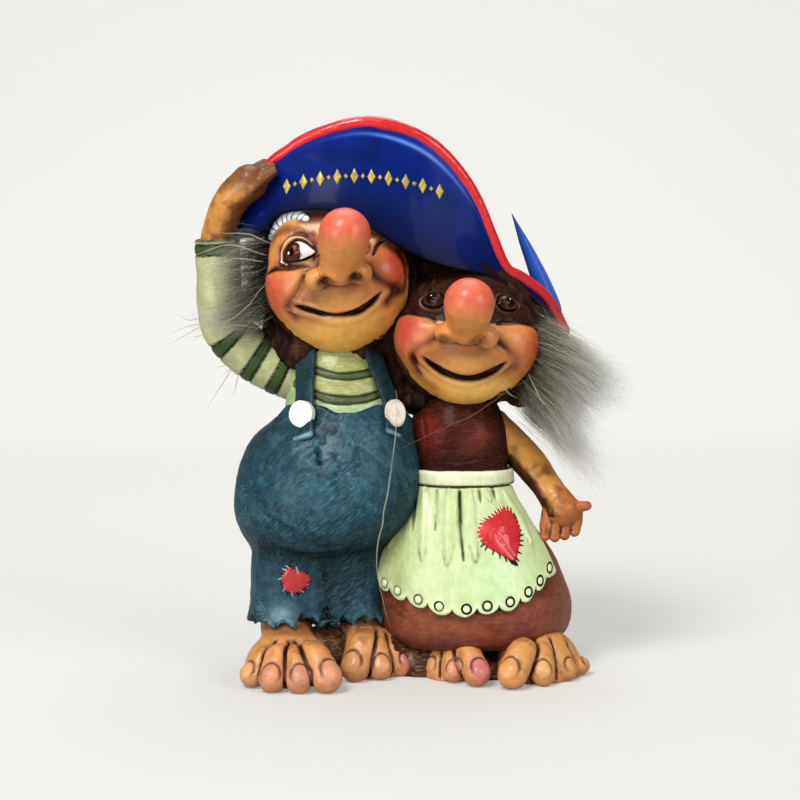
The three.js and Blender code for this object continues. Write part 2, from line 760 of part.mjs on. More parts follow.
const edgeCurve = (edge) => new THREE.CatmullRomCurve3(edge.map(([x, share]) => new THREE.Vector3(x, 0, hatZ(share))));

// A bent sheet between two edges, with its front face given by forward(x, share of the height)
function sheet(lower, upper, forward, thickness, grow, { stations = 16, rows = 3 } = {}) {
  const low = edgeCurve(lower);
  const high = edgeCurve(upper);
  const rings = [];
  for (let i = 0; i <= stations; i++) {
    const share = i / stations;
    const bottom = low.getPoint(share);
    const top = high.getPoint(share);
    const rise = top.clone().sub(bottom).normalize();
    bottom.addScaledVector(rise, -grow);
    top.addScaledVector(rise, grow);
    if (i === 0) [bottom, top].forEach((p) => (p.x -= grow));
    if (i === stations) [bottom, top].forEach((p) => (p.x += grow));
    const front = [];
    const back = [];
    for (let row = 0; row <= rows; row++) {
      const point = bottom.clone().lerp(top, row / rows);
      const y = forward(point.x, row / rows);
      const slope = (forward(point.x + 1, row / rows) - forward(point.x - 1, row / rows)) / 2;
      const skin = grow * Math.hypot(1, slope);
      front.push(new THREE.Vector3(point.x, y - skin, point.z));
      back.push(new THREE.Vector3(point.x, y + thickness + skin, point.z));
    }
    rings.push([...back, ...front.reverse()]);
  }
  return skinned(rings);
}

function frontBrim(grow) {
  return sheet(brimLower, brimUpper, brimY, brim.thickness, grow);
}

function brimBinding(grow) {
  const points = brimUpper.map(([x, share]) => new THREE.Vector3(x, brimY(x, 1) + brim.thickness / 2, hatZ(share)));
  const count = points.length;
  const radii = points.map((_, i) => binding.radius * (1 + (binding.swell * i) / count));
  return limb(points, radii, grow, { sides: 6, steps: 22 });
}

function hatCrown(grow) {
  const sections = crownSpan.map((part, i) => ({
    x: part.x,
    y: crown.y,
    z: hatZ((part.low + part.high) / 2),
    halfDepth: crown.halfDepth * (i === 0 || i === crownSpan.length - 1 ? 0.55 : 1),
    halfHeight: (hat.height * (part.high - part.low)) / 2,
  }));
  return span(sections, grow, { sides: 14, rows: 8 });
}

function hatBackBrim(grow) {
  const behind = (x) => {
    const aside = (x - backBrim.middleX) / backBrim.reach;
    return crown.y + crown.halfDepth * Math.sqrt(1 - Math.min(aside * aside, 0.98)) + backBrim.offset;
  };
  const low = sheet(backLower, backUpper, behind, backBrim.thickness, grow);
  const steps = 8;
  const bend = [horn.foot, horn.middle, horn.tip].map(([x, y, share]) => new THREE.Vector3(x, y, hatZ(share)));
  const curve = new THREE.CatmullRomCurve3(bend);
  const rings = [];
  for (let i = 0; i <= steps; i++) {
    const share = i / steps;
    const size = 0.12 + 0.88 * Math.sin(Math.PI * (0.25 + 0.75 * share)) ** 0.8;
    const centre = curve.getPoint(share);
    const across = new THREE.Vector3(1, 0, 0);
    const back = new THREE.Vector3(0, 1, 0);
    if (i === steps) centre.z += grow;
    rings.push(ringOf(centre, across, back, horn.halfWidth * size + grow, horn.halfDepth * size + grow, 12));
  }
  return low.add(skinned(rings));
}

const paints = {
  moss: { color: 0x5a4630, roughness: 0.5 },
  skin: { color: 0xc98a3f, roughness: 0.3 },
  denim: { color: 0x1f3a4a, roughness: 0.35 },
  shirt: { color: 0xa9b07c, roughness: 0.4 },
  pale: { color: 0xf0eee6, roughness: 0.2 },
  red: { color: 0xc01822, roughness: 0.2 },
  brown: { color: 0x5a2a20, roughness: 0.35 },
  hair: { color: 0x3a1a0c, roughness: 0.5 },
  dark: { color: 0x1c0f0a, roughness: 0.1 },
  apron: { color: 0xbfd29a, roughness: 0.35 },
  blue: { color: 0x0a2a8c, roughness: 0.15 },
  fur: { color: 0xb5b3a6, roughness: 0.9 },
};

// Each piece leaves the glue gap round all pieces that come before it
const pieces = [
  ["tall_nose", paints.skin, (grow) => nose(tallHead, grow)],
  ["tall_right_eye", paints.dark, (grow) => eye(tallHead, -1, grow)],
  ["tall_left_eye", paints.dark, (grow) => eye(tallHead, 1, grow)],
  ["tall_right_eyebrow", paints.pale, brow],
  ["short_nose", paints.skin, (grow) => nose(shortHead, grow)],
  ["short_right_eye", paints.dark, (grow) => eye(shortHead, -1, grow)],
  ["short_left_eye", paints.dark, (grow) => eye(shortHead, 1, grow)],
  ["tall_right_hand", paints.skin, tallRightHand],
  ["tall_left_hand", paints.skin, tallLeftHand],
  ["short_left_arm", paints.skin, shortLeftHandAndArm],
  ["hat_binding", paints.red, brimBinding],
  ["hat_front_brim", paints.blue, frontBrim],
  ["hat_back_brim", paints.blue, hatBackBrim],
  ["tall_right_sleeve", paints.shirt, tallRightSleeve],
  ["tall_left_sleeve", paints.shirt, tallLeftSleeve],
  ["short_right_arm", paints.skin, shortRightHandAndArm],
  ["tall_head", paints.skin, (grow) => face(tallHead, grow)],
  ["short_head", paints.skin, (grow) => face(shortHead, grow)],
  ["tall_hair_cap", paints.hair, (grow) => hairCap(tallHead, grow)],
  ["short_hair_cap", paints.hair, (grow) => hairCap(shortHead, grow)],
  ["hat_crown", paints.blue, hatCrown],
  ["short_heart_patch", paints.red, heartPatch],
  ["short_apron_band", paints.apron, apronBand],
  ["short_apron", paints.apron, apronCloth],
  ["short_bodice", paints.brown, bodice],
  ["short_skirt", paints.brown, skirt],
  ["tall_right_button", paints.pale, (grow) => button(rightStrap, grow)],
  ["tall_left_button", paints.pale, (grow) => button(leftStrap, grow)],
  ["tall_knee_patch", paints.red, patch],
  ["tall_right_strap", paints.denim, (grow) => strap(rightStrap, grow)],
  ["tall_left_strap", paints.denim, (grow) => strap(leftStrap, grow)],
  ["tall_shirt", paints.shirt, shirt],
  ["tall_right_foot", paints.skin, (grow) => foot(feet.tallRight, grow)],
  ["tall_left_foot", paints.skin, (grow) => foot(feet.tallLeft, grow)],
  ["short_right_foot", paints.skin, (grow) => foot(feet.shortRight, grow)],
  ["short_left_foot", paints.skin, (grow) => foot(feet.shortLeft, grow)],
  ["tall_dungarees", paints.denim, dungarees],
  ["tall_hair_tuft", paints.fur, (grow) => span(tallTuft, grow)],
  ["short_hair_tuft", paints.fur, (grow) => span(shortTuft, grow)],
  ["base", paints.moss, baseSlab],
];

const largest = (solid) => solid.decompose().reduce((a, b) => (b.volume() > a.volume() ? b : a));

const figurine = new THREE.Group();
const before = [];
for (const [name, paint, shape] of pieces) {
  const cut = before.reduce((solid, neighbour) => solid.subtract(neighbour), shape(0));
  const mesh = new THREE.Mesh(geometryOf(largest(cut)), new THREE.MeshStandardMaterial(paint));
  mesh.name = name;
  figurine.add(mesh);
  before.push(shape(glueGap));
}

export default figurine;
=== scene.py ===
"""Looks of a painted resin figurine, two trolls who share one hat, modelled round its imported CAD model.

Sizes are millimetres in the CAD frame, +Z up, and the trolls face -Y. Left and right are the trolls' own.
"""

import logging
import math
from dataclasses import dataclass, field
from enum import Enum
from typing import Callable, Optional, Sequence

import bpy
import numpy as np
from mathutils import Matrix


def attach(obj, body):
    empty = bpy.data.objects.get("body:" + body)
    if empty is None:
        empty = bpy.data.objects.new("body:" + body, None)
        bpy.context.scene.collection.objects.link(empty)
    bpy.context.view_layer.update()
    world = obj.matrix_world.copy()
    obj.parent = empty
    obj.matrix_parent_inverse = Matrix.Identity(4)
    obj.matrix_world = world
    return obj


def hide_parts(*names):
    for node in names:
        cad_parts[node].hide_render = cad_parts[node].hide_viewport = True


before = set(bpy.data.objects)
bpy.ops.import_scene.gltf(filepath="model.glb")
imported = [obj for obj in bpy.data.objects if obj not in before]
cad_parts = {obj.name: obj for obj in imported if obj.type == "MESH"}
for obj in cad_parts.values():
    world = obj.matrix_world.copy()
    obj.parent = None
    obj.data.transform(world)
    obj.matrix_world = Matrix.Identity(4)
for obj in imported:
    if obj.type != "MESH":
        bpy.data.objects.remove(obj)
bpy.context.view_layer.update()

MM = 0.001
TAU = 2 * math.pi
log = logging.getLogger("troll_figurine")

Points = np.ndarray
Trio = tuple[float, float, float]
Gap = Callable[[Points], Points]
Marks = Sequence[tuple[float, float]]
Seeds = list[tuple[Points, Points, float, float]]


# Numbers and noise


def unit(v: Points) -> Points:
    """Vectors of length 1."""
    return v / np.maximum(np.linalg.norm(v, axis=-1, keepdims=True), 1e-9)


def columns(*values: Points) -> Points:
    """Values side by side, as one row for each point."""
    return np.stack(values, axis=1)


def at_share(rows: Points, share: Points) -> Points:
    """The rows' values at shares of the way from the first row to the last."""
    grid = np.linspace(0, 1, len(rows))
    return columns(*(np.interp(share, grid, column) for column in rows.T))


def squared(wave: Points, power: float) -> Points:
    """A wave drawn towards a square one: the lower the power, the flatter its crests."""
    return np.sign(wave) * np.abs(wave) ** power


def closing(share: Points, crisp: float) -> Points:
    """Closes a form at both ends: 0 at shares 0 and 1, and soon 1 between them."""
    return np.clip(np.minimum(share, 1 - share) * crisp, 0, 1) ** 0.5


def ease(x: Points) -> Points:
    """A smooth step from 0 to 1."""
    x = np.clip(x, 0, 1)
    return x * x * (3 - 2 * x)


def fade(distance: Points, width: float) -> Points:
    """A soft brush mark: 1 on its line, and almost 0 from twice its width."""
    return np.exp(-((distance / width) ** 2))


def smooth_min(a: Points, b: Points, k: float) -> Points:
    """The lower of two distances, rounded over k."""
    h = np.clip(0.5 + 0.5 * (b - a) / k, 0, 1)
    return b * (1 - h) + a * h - k * h * (1 - h)


def curve(points: Sequence, count: int = 40) -> Points:
    """A smooth curve through a few points.

    Args:
        points: The points, each of any number of values.
        count: How many points the curve gets.

    Returns:
        The curve's points, evenly spread over the given ones.
    """
    p = np.array(points, float)
    if len(p) == 2:
        return p[0] + (p[1] - p[0]) * np.linspace(0, 1, count)[:, None]
    p = np.vstack([2 * p[0] - p[1], p, 2 * p[-1] - p[-2]])
    s = np.linspace(0, len(p) - 3 - 1e-9, count)
    i = s.astype(int)
    t = (s - i)[:, None]
    a, b, c, d = p[i], p[i + 1], p[i + 2], p[i + 3]
    return 0.5 * (2 * b + (c - a) * t + (2 * a - 5 * b + 4 * c - d) * t**2 + (3 * b - a - 3 * c + d) * t**3)


def nearest(at: Points, path: Points) -> tuple[Points, Points]:
    """How far points are from a path.

    Args:
        at: The points.
        path: The path's points.

    Returns:
        Each point's distance, and how far along the path it is, from 0 to 1.
    """
    best = np.full(len(at), 1e9)
    share = np.zeros(len(at))
    for i in range(len(path) - 1):
        step = path[i + 1] - path[i]
        t = np.clip((at - path[i]) @ step / max(step @ step, 1e-12), 0, 1)
        apart = np.linalg.norm(at - path[i] - t[:, None] * step, axis=1)
        closer = apart < best
        best[closer] = apart[closer]
        share[closer] = (i + t[closer]) / (len(path) - 1)
    return best, share


def noise(at: Points, size: float, seed: int = 0) -> Points:
    """Smooth noise from -1 to 1 with lumps of a size, the same on each run."""
    q = at / size + seed * 17.31
    cell = np.floor(q).astype(np.int64)
    f = ease(q - cell)
    total = np.zeros(len(at))
    for corner in np.ndindex(2, 2, 2):
        c = cell + corner
        h = (c[:, 0] * 73856093) ^ (c[:, 1] * 19349663) ^ (c[:, 2] * 83492791)
        h = ((h ^ (h >> 13)) * 1274126177) & 0xFFFFFFFF
        h = h ^ (h >> 16)
        weight = np.prod(np.where(corner, f, 1 - f), axis=1)
        total += weight * ((h & 0xFFFF) / 32768.0 - 1)
    return total


def lumps(at: Points, size: float, seed: int = 0) -> Points:
    """Noise of three sizes on each other."""
    return noise(at, size, seed) + 0.5 * noise(at, size / 2, seed + 1) + 0.25 * noise(at, size / 4, seed + 2)


def streaks(at: Points, angle: float, length: float, width: float, seed: int = 0) -> Points:
    """Noise drawn out along a slant in the XZ plane, as by a dry brush."""
    a = math.radians(angle)
    along = at[:, 0] * math.cos(a) + at[:, 2] * math.sin(a)
    across = -at[:, 0] * math.sin(a) + at[:, 2] * math.cos(a)
    return noise(columns(along * width / length, across, at[:, 1] * 0.5), width, seed)


def shown(code: str) -> Points:
    """The three values of an sRGB hex colour."""
    return np.array([int(code[i : i + 2], 16) / 255 for i in (1, 3, 5)])


def linear(values: Points) -> Points:
    """sRGB values as the linear ones that Blender works with."""
    return np.where(values <= 0.04045, values / 12.92, ((values + 0.055) / 1.055) ** 2.4)


def colour(code: str) -> tuple[float, ...]:
    """A hex colour for a shader socket."""
    return (*linear(shown(code)), 1.0)


# Clay: shaped meshes


def alone(piece: bpy.types.Object) -> None:
    """Makes one object the only selected and the active one."""
    bpy.ops.object.select_all(action="DESELECT")
    piece.select_set(True)
    bpy.context.view_layer.objects.active = piece


def apply_modifier(piece: bpy.types.Object, kind: str, **settings: object) -> None:
    """Adds a modifier to a piece and applies it."""
    alone(piece)
    modifier = piece.modifiers.new("step", kind)
    for name, value in settings.items():
        setattr(modifier, name, value)
    bpy.ops.object.modifier_apply(modifier=modifier.name)


class Clay:
    """A mesh whose points are moved and painted in millimetres."""

    def __init__(self, piece: bpy.types.Object) -> None:
        """Takes over a mesh object that sits at the origin."""
        self.piece = piece
        mesh = piece.data
        self.at = np.empty(len(mesh.vertices) * 3)
        mesh.vertices.foreach_get("co", self.at)
        self.at = self.at.reshape(-1, 3) / MM
        ends = np.empty(len(mesh.edges) * 2, np.int32)
        mesh.edges.foreach_get("vertices", ends)
        ends = ends.reshape(-1, 2)
        self.here = np.concatenate((ends[:, 0], ends[:, 1]))
        self.there = np.concatenate((ends[:, 1], ends[:, 0]))
        self.links = np.maximum(np.bincount(self.here, minlength=len(self.at)), 1)
        self.rgb = np.ones((len(self.at), 3))
        self.wear = np.zeros(len(self.at))

    @property
    def x(self) -> Points:
        """How far to the viewer's right each point is."""
        return self.at[:, 0]

    @property
    def y(self) -> Points:
        """How far back each point is."""
        return self.at[:, 1]

    @property
    def z(self) -> Points:
        """Each point's height."""
        return self.at[:, 2]

    def right(self, x: float, over: float) -> Points:
        """0 at x and 1 to the viewer's right of it, over some millimetres."""
        return ease((self.x - x) / over)

    def left(self, x: float, over: float) -> Points:
        """0 at x and 1 to the viewer's left of it, over some millimetres."""
        return ease((x - self.x) / over)

    def above(self, z: float, over: float) -> Points:
        """0 at a height and 1 above it, over some millimetres."""
        return ease((self.z - z) / over)

    def below(self, z: float, over: float) -> Points:
        """0 at a height and 1 below it, over some millimetres."""
        return ease((z - self.z) / over)

    def spot(self, x: float, wide: float, z: float, tall: float) -> Points:
        """A soft oval spot, seen from the front."""
        return fade(self.x - x, wide) * fade(self.z - z, tall)

    def clouds(self, size: float, seed: int, more: float = 0.0) -> Points:
        """Soft patches of a size in millimetres."""
        return np.clip(noise(self.at, size, seed) + more, 0, 1)

    def specks(self, size: float, seed: int, gain: float = 1.0, more: float = 0.0) -> Points:
        """Rough patches with finer ones in them."""
        return np.clip(lumps(self.at, size, seed) * gain + more, 0, 1)

    def apart(self, centre: Points) -> Points:
        """Each point's distance from a place."""
        return np.linalg.norm(self.at - centre, axis=1)

    def value(self, name: str) -> Points:
        """One of the mesh's own values per point."""
        out = np.empty(len(self.at), np.float32)
        self.piece.data.attributes[name].data.foreach_get("value", out)
        return out.astype(float)

    def mean(self, values: Points) -> Points:
        """The mean of each point's neighbours."""
        if values.ndim == 1:
            return np.bincount(self.here, values[self.there], len(self.at)) / self.links
        return np.stack([self.mean(values[:, i]) for i in range(values.shape[1])], axis=1)

    def blur(self, values: Points, times: int) -> Points:
        """Values spread over their neighbours."""
        for _ in range(times):
            values = (values + self.mean(values)) / 2
        return values

    def normals(self) -> Points:
        """The points' normals where they are now."""
        mesh = self.piece.data
        mesh.vertices.foreach_set("co", (self.at * MM).ravel())
        mesh.update()
        out = np.empty(len(self.at) * 3)
        mesh.vertex_normals.foreach_get("vector", out)
        return out.reshape(-1, 3)

    def settle(self, gap: Gap) -> None:
        """Draws the points onto the surface where a distance is 0."""
        step = 0.05
        d = gap(self.at)
        slope = np.stack([(gap(self.at + step * axis) - d) / step for axis in np.eye(3)], axis=1)
        move = d / np.maximum((slope**2).sum(axis=1), 0.05)
        self.at -= np.clip(move, -2, 2)[:, None] * slope

    def relax(self) -> None:
        """Evens out the points within the surface."""
        move = self.mean(self.at) - self.at
        normals = self.normals()
        self.at += 0.5 * (move - (move * normals).sum(axis=1)[:, None] * normals)

    def lift(self, height: Points) -> None:
        """Moves the points along their normals."""
        self.at += self.normals() * height[:, None]

    def near(self, path: Points, width: float, taper: bool = True) -> Points:
        """How much each point belongs to a brush mark along a path.

        Args:
            path: The mark's middle line.
            width: Half the mark's width.
            taper: Whether it thins out towards both ends.

        Returns:
            Weights from 0 to 1.
        """
        weight = np.zeros(len(self.at))
        reach = 2.5 * width
        close = np.all((self.at > path.min(axis=0) - reach) & (self.at < path.max(axis=0) + reach), axis=1)
        if close.any():
            apart, share = nearest(self.at[close], path)
            thin = np.sqrt(np.clip(np.sin(np.pi * share), 0.12, 1)) if taper else 1
            weight[close] = fade(apart, width * thin)
        return weight

    def score(self, path: Points, width: float, height: float, taper: bool = True) -> None:
        """Raises a ridge along a path, or cuts a groove where the height is negative."""
        self.lift(height * self.near(path, width, taper))

    def dab(self, centre: Points, width: float, height: float) -> None:
        """Raises a swelling or presses a dent."""
        self.lift(height * fade(self.apart(centre), width))

    def hollows(self, spread: int = 3) -> Points:
        """How deep the surface is pressed in at each point: above 0 in creases, and below 0 on edges."""
        normals = self.normals()
        inward = ((self.mean(self.at) - self.at) * normals).sum(axis=1)
        spacing = np.linalg.norm(self.at[self.here] - self.at[self.there], axis=1).mean()
        return self.blur(inward / spacing, spread)

    def coat(self, code: str) -> None:
        """Paints it all in one colour."""
        self.rgb = np.tile(shown(code), (len(self.at), 1))

    def paint(self, weight: Points, code: str) -> None:
        """Lays a colour over the coats before, as thick as the weights."""
        self.rgb += (shown(code) - self.rgb) * np.clip(weight, 0, 1)[:, None]

    def wash_and_shade(self, code: str, depth: float, spread: int) -> None:
        """Lets thin dark paint run into the creases: a dark wash that also stands as painted shade in them."""
        self.paint(np.clip((self.hollows(spread) - 0.02) * depth, 0, 0.92), code)

    def store(self) -> bpy.types.Object:
        """Writes the points and the paint to the mesh, no lower than the ground."""
        self.at[:, 2] = np.maximum(self.at[:, 2], 0)
        self.normals()
        mesh = self.piece.data
        paint = mesh.attributes.new("paint", "FLOAT_COLOR", "POINT")
        values = np.ones((len(self.at), 4), np.float32)
        values[:, :3] = linear(np.clip(self.rgb, 0, 1))
        paint.data.foreach_set("color", values.ravel())
        wear = mesh.attributes.new("wear", "FLOAT", "POINT")
        wear.data.foreach_set("value", np.clip(self.wear, 0, 1).astype(np.float32))
        alone(self.piece)
        bpy.ops.object.shade_smooth()
        return self.piece


def skin(name: str, across: int, along: int, place: Callable[[Points, Points], Points]) -> Clay:
    """A sheet that is wrapped into a form, with its seams and poles welded.

    Args:
        name: The piece's name.
        across: Faces round the form.
        along: Faces along it.
        place: Gives the points for shares round the form and along it.

    Returns:
        The mesh as clay, with the shares kept as its values u and v.
    """
    bpy.ops.object.select_all(action="DESELECT")
    bpy.ops.mesh.primitive_grid_add(x_subdivisions=across, y_subdivisions=along, size=1)
    piece = bpy.context.active_object
    piece.name = piece.data.name = name
    mesh = piece.data
    at = np.empty(len(mesh.vertices) * 3)
    mesh.vertices.foreach_get("co", at)
    u, v = at.reshape(-1, 3)[:, 0] + 0.5, at.reshape(-1, 3)[:, 1] + 0.5
    for key, values in (("u", u), ("v", v)):
        mesh.attributes.new(key, "FLOAT", "POINT").data.foreach_set("value", values.astype(np.float32))
    mesh.vertices.foreach_set("co", (place(u, v) * MM).ravel())
    bpy.ops.object.mode_set(mode="EDIT")
    bpy.ops.mesh.select_all(action="SELECT")
    bpy.ops.mesh.remove_doubles(threshold=0.005 * MM)
    bpy.ops.mesh.normals_make_consistent(inside=False)
    bpy.ops.object.mode_set(mode="OBJECT")
    return Clay(piece)


def rod(name: str, across: int, along: int, radius: Gap, height: Gap) -> Clay:
    """An upright round rod, whose radius and height come from the share along it."""
    return skin(
        name, across, along,
        lambda u, v: columns(radius(v) * np.cos(TAU * u), radius(v) * np.sin(TAU * u), height(v))
    )


def flock(name: str, model: Clay, places: Points) -> Clay:
    """Copies a modelled piece, each copy with its own points.

    Args:
        name: The name of the copies as one piece.
        model: The piece, which is used up.
        places: The points of each copy, in millimetres.

    Returns:
        The copies as clay.
    """
    old = model.piece.data
    loops = np.empty(len(old.loops), np.int32)
    old.loops.foreach_get("vertex_index", loops)
    starts = np.empty(len(old.polygons), np.int32)
    old.polygons.foreach_get("loop_start", starts)
    copies, size = places.shape[:2]
    step = np.arange(copies)[:, None]
    mesh = bpy.data.meshes.new(name)
    mesh.vertices.add(copies * size)
    mesh.vertices.foreach_set("co", (places * MM).ravel())
    mesh.loops.add(copies * len(loops))
    mesh.loops.foreach_set("vertex_index", (loops[None, :] + size * step).astype(np.int32).ravel())
    mesh.polygons.add(copies * len(starts))
    mesh.polygons.foreach_set("loop_start", (starts[None, :] + len(loops) * step).astype(np.int32).ravel())
    mesh.update(calc_edges=True)
    piece = bpy.data.objects.new(name, mesh)
    bpy.context.scene.collection.objects.link(piece)
    bpy.data.objects.remove(model.piece)
    return Clay(piece)


# Shapes that forms are built from


@dataclass
class Ball:
    """An egg, turned about Z and then leaned about Y."""

    centre: Trio
    half: Trio
    turn: float = 0.0
    lean: float = 0.0

    def own(self, at: Points) -> Points:
        """Points in the egg's own axes."""
        a, b = math.radians(self.turn), math.radians(self.lean)
        q = at - np.array(self.centre)
        q = columns(
            q[:, 0] * math.cos(b) - q[:, 2] * math.sin(b), q[:, 1],
            q[:, 0] * math.sin(b) + q[:, 2] * math.cos(b)
        )
        x = q[:, 0] * math.cos(a) + q[:, 1] * math.sin(a)
        y = -q[:, 0] * math.sin(a) + q[:, 1] * math.cos(a)
        return columns(x, y, q[:, 2])

    def gap(self, at: Points) -> Points:
        """Distance to the surface, negative inside."""
        q = self.own(at)
        half = np.array(self.half)
        near, far = np.linalg.norm(q / half, axis=1), np.linalg.norm(q / half**2, axis=1)
        return near * (near - 1) / np.maximum(far, 1e-6)

    def seeds(self) -> Seeds:
        """The primitive balls that it starts from: centre, half sizes, turn and lean."""
        return [(np.array(self.centre), np.array(self.half), self.turn, self.lean)]


@dataclass
class Limb:
    """A limb through a few points, with a radius at each."""

    points: Sequence
    radii: Sequence[float]

    def __post_init__(self) -> None:
        """Draws the limb's middle line."""
        if len(self.radii) == 2 and len(self.points) > 2:
            self.radii = list(np.linspace(self.radii[0], self.radii[1], len(self.points)))
        self.count = 6 * (len(self.points) - 1) + 1
        self.path = curve(self.points, self.count)
        self.thick = curve([[r] for r in self.radii], self.count)[:, 0]

    def gap(self, at: Points) -> Points:
        """Distance to the surface, negative inside."""
        apart, share = nearest(at, self.path)
        return apart - np.interp(share, np.linspace(0, 1, self.count), self.thick)

    def seeds(self) -> Seeds:
        """Balls strung along the limb."""
        length = np.linalg.norm(np.diff(self.path, axis=0), axis=1).sum()
        number = max(2, int(length / (0.55 * min(self.thick))) + 1)
        strung = at_share(np.column_stack([self.path, self.thick]), np.linspace(0, 1, number))
        return [(place[:3], np.full(3, place[3]), 0.0, 0.0) for place in strung]


@dataclass
class Stack:
    """A trunk: level ellipses through sections of z, x, y, half width and half depth."""

    sections: Sequence
    low: float = -1e3
    high: float = 1e3
    grow: float = 0.0

    def __post_init__(self) -> None:
        """Draws the smooth outline through the sections."""
        self.line = curve(self.sections, 90)
        self.line[:, 3:] += self.grow
        self.low = max(self.low, self.line[0, 0])
        self.high = min(self.high, self.line[-1, 0])

    def at_height(self, z: Points) -> Points:
        """Middle x and y and the half sizes at some heights, one row each."""
        return np.stack([np.interp(z, self.line[:, 0], self.line[:, i]) for i in (1, 2, 3, 4)])

    def surface(self, angle: Points, z: Points, out: Points = 0.0) -> Points:
        """Points round the trunk, with angle 0 at the back and half a turn at the front."""
        x, y, a, b = self.at_height(z)
        return columns(x - (a + out) * np.sin(angle), y + (b + out) * np.cos(angle), z + 0 * angle)

    def front(self, x: Points, z: Points, out: float = 0.0) -> Points:
        """The point of the front surface at each x and z."""
        x, z = np.atleast_1d(np.asarray(x, float)), np.atleast_1d(np.asarray(z, float))
        cx, cy, a, b = self.at_height(z)
        share = np.clip((x - cx) / (a + out), -0.999, 0.999)
        return columns(x, cy - (b + out) * np.sqrt(1 - share**2), z)

    def drawn(self, marks: Marks, count: int, out: float = 0.0) -> Points:
        """A smooth line on the front through (x, z) marks."""
        return self.front(*curve(marks, count).T, out)

    def gap(self, at: Points) -> Points:
        """Distance to the surface, negative inside."""
        x, y, a, b = self.at_height(at[:, 2])
        px, py = at[:, 0] - x, at[:, 1] - y
        near, far = np.hypot(px / a, py / b), np.hypot(px / a**2, py / b**2)
        side = near * (near - 1) / np.maximum(far, 1e-6)
        ends = np.maximum(self.low - at[:, 2], at[:, 2] - self.high)
        return -smooth_min(-side, -ends, 0.8)

    def wrap(self, name: str, across: int, along: int, low: float, high: float) -> Clay:
        """A closed mesh round the trunk between two heights."""

        def place(u: Points, v: Points) -> Points:
            """Level rings, with flat ends that are rounded at the rim."""
            close = np.sin(np.pi / 2 * np.clip(np.minimum(v, 1 - v) / 0.07, 0, 1))
            z = low + (high - low) * np.clip((v - 0.06) / 0.88, 0, 1)
            x, y, a, b = self.at_height(z)
            return columns(x - a * close * np.sin(TAU * u), y + b * close * np.cos(TAU * u), z)

        return skin(name, across, along, place)

    def seeds(self) -> Seeds:
        """Flat balls stacked up the trunk."""
        found = []
        for z in np.linspace(self.low + 1.5, self.high - 1.5, max(2, int((self.high - self.low) / 2.5))):
            x, y, a, b = self.at_height(np.array([z]))[:, 0]
            found.append((np.array([x, y, z]), np.array([a, b, 2.6]), 0.0, 0.0))
        return found


@dataclass
class Form:
    """Shapes that flow into each other, and cuts through them."""

    name: str
    parts: Sequence
    blend: float = 1.2
    cuts: Sequence[tuple[Gap, float]] = ()

    def gap(self, at: Points) -> Points:
        """Distance to the whole form, negative inside."""
        d = self.parts[0].gap(at)
        for part in self.parts[1:]:
            d = smooth_min(d, part.gap(at), self.blend)
        for cut, rounding in self.cuts:
            d = -smooth_min(-d, cut(at), rounding)
        return d

    def seeds(self) -> Seeds:
        """The balls that it starts from."""
        return [seed for part in self.parts for seed in part.seeds()]

    def cast(self, grain: float, passes: int = 4) -> Clay:
        """Models the form.

        Args:
            grain: The size of the mesh's faces.
            passes: How often the mesh is drawn onto the form and evened out.

        Returns:
            The mesh as clay.
        """
        bpy.ops.object.select_all(action="DESELECT")
        balls = []
        for centre, half, turn, lean in self.seeds():
            bpy.ops.mesh.primitive_uv_sphere_add(
                segments=18, ring_count=12, radius=1, location=centre * MM,
                rotation=(0, math.radians(lean), math.radians(turn)), scale=half * MM
            )
            balls.append(bpy.context.active_object)
        for ball in balls:
            ball.select_set(True)
        bpy.context.view_layer.objects.active = balls[0]
        if len(balls) > 1:
            bpy.ops.object.join()
        piece = bpy.context.active_object
        piece.name = piece.data.name = self.name
        bpy.ops.object.transform_apply(location=True, rotation=True, scale=True)
        apply_modifier(piece, "REMESH", mode="VOXEL", voxel_size=grain * MM, adaptivity=0)
        clay = Clay(piece)
        for _ in range(passes):
            clay.settle(self.gap)
            clay.relax()
        clay.settle(self.gap)
        return clay


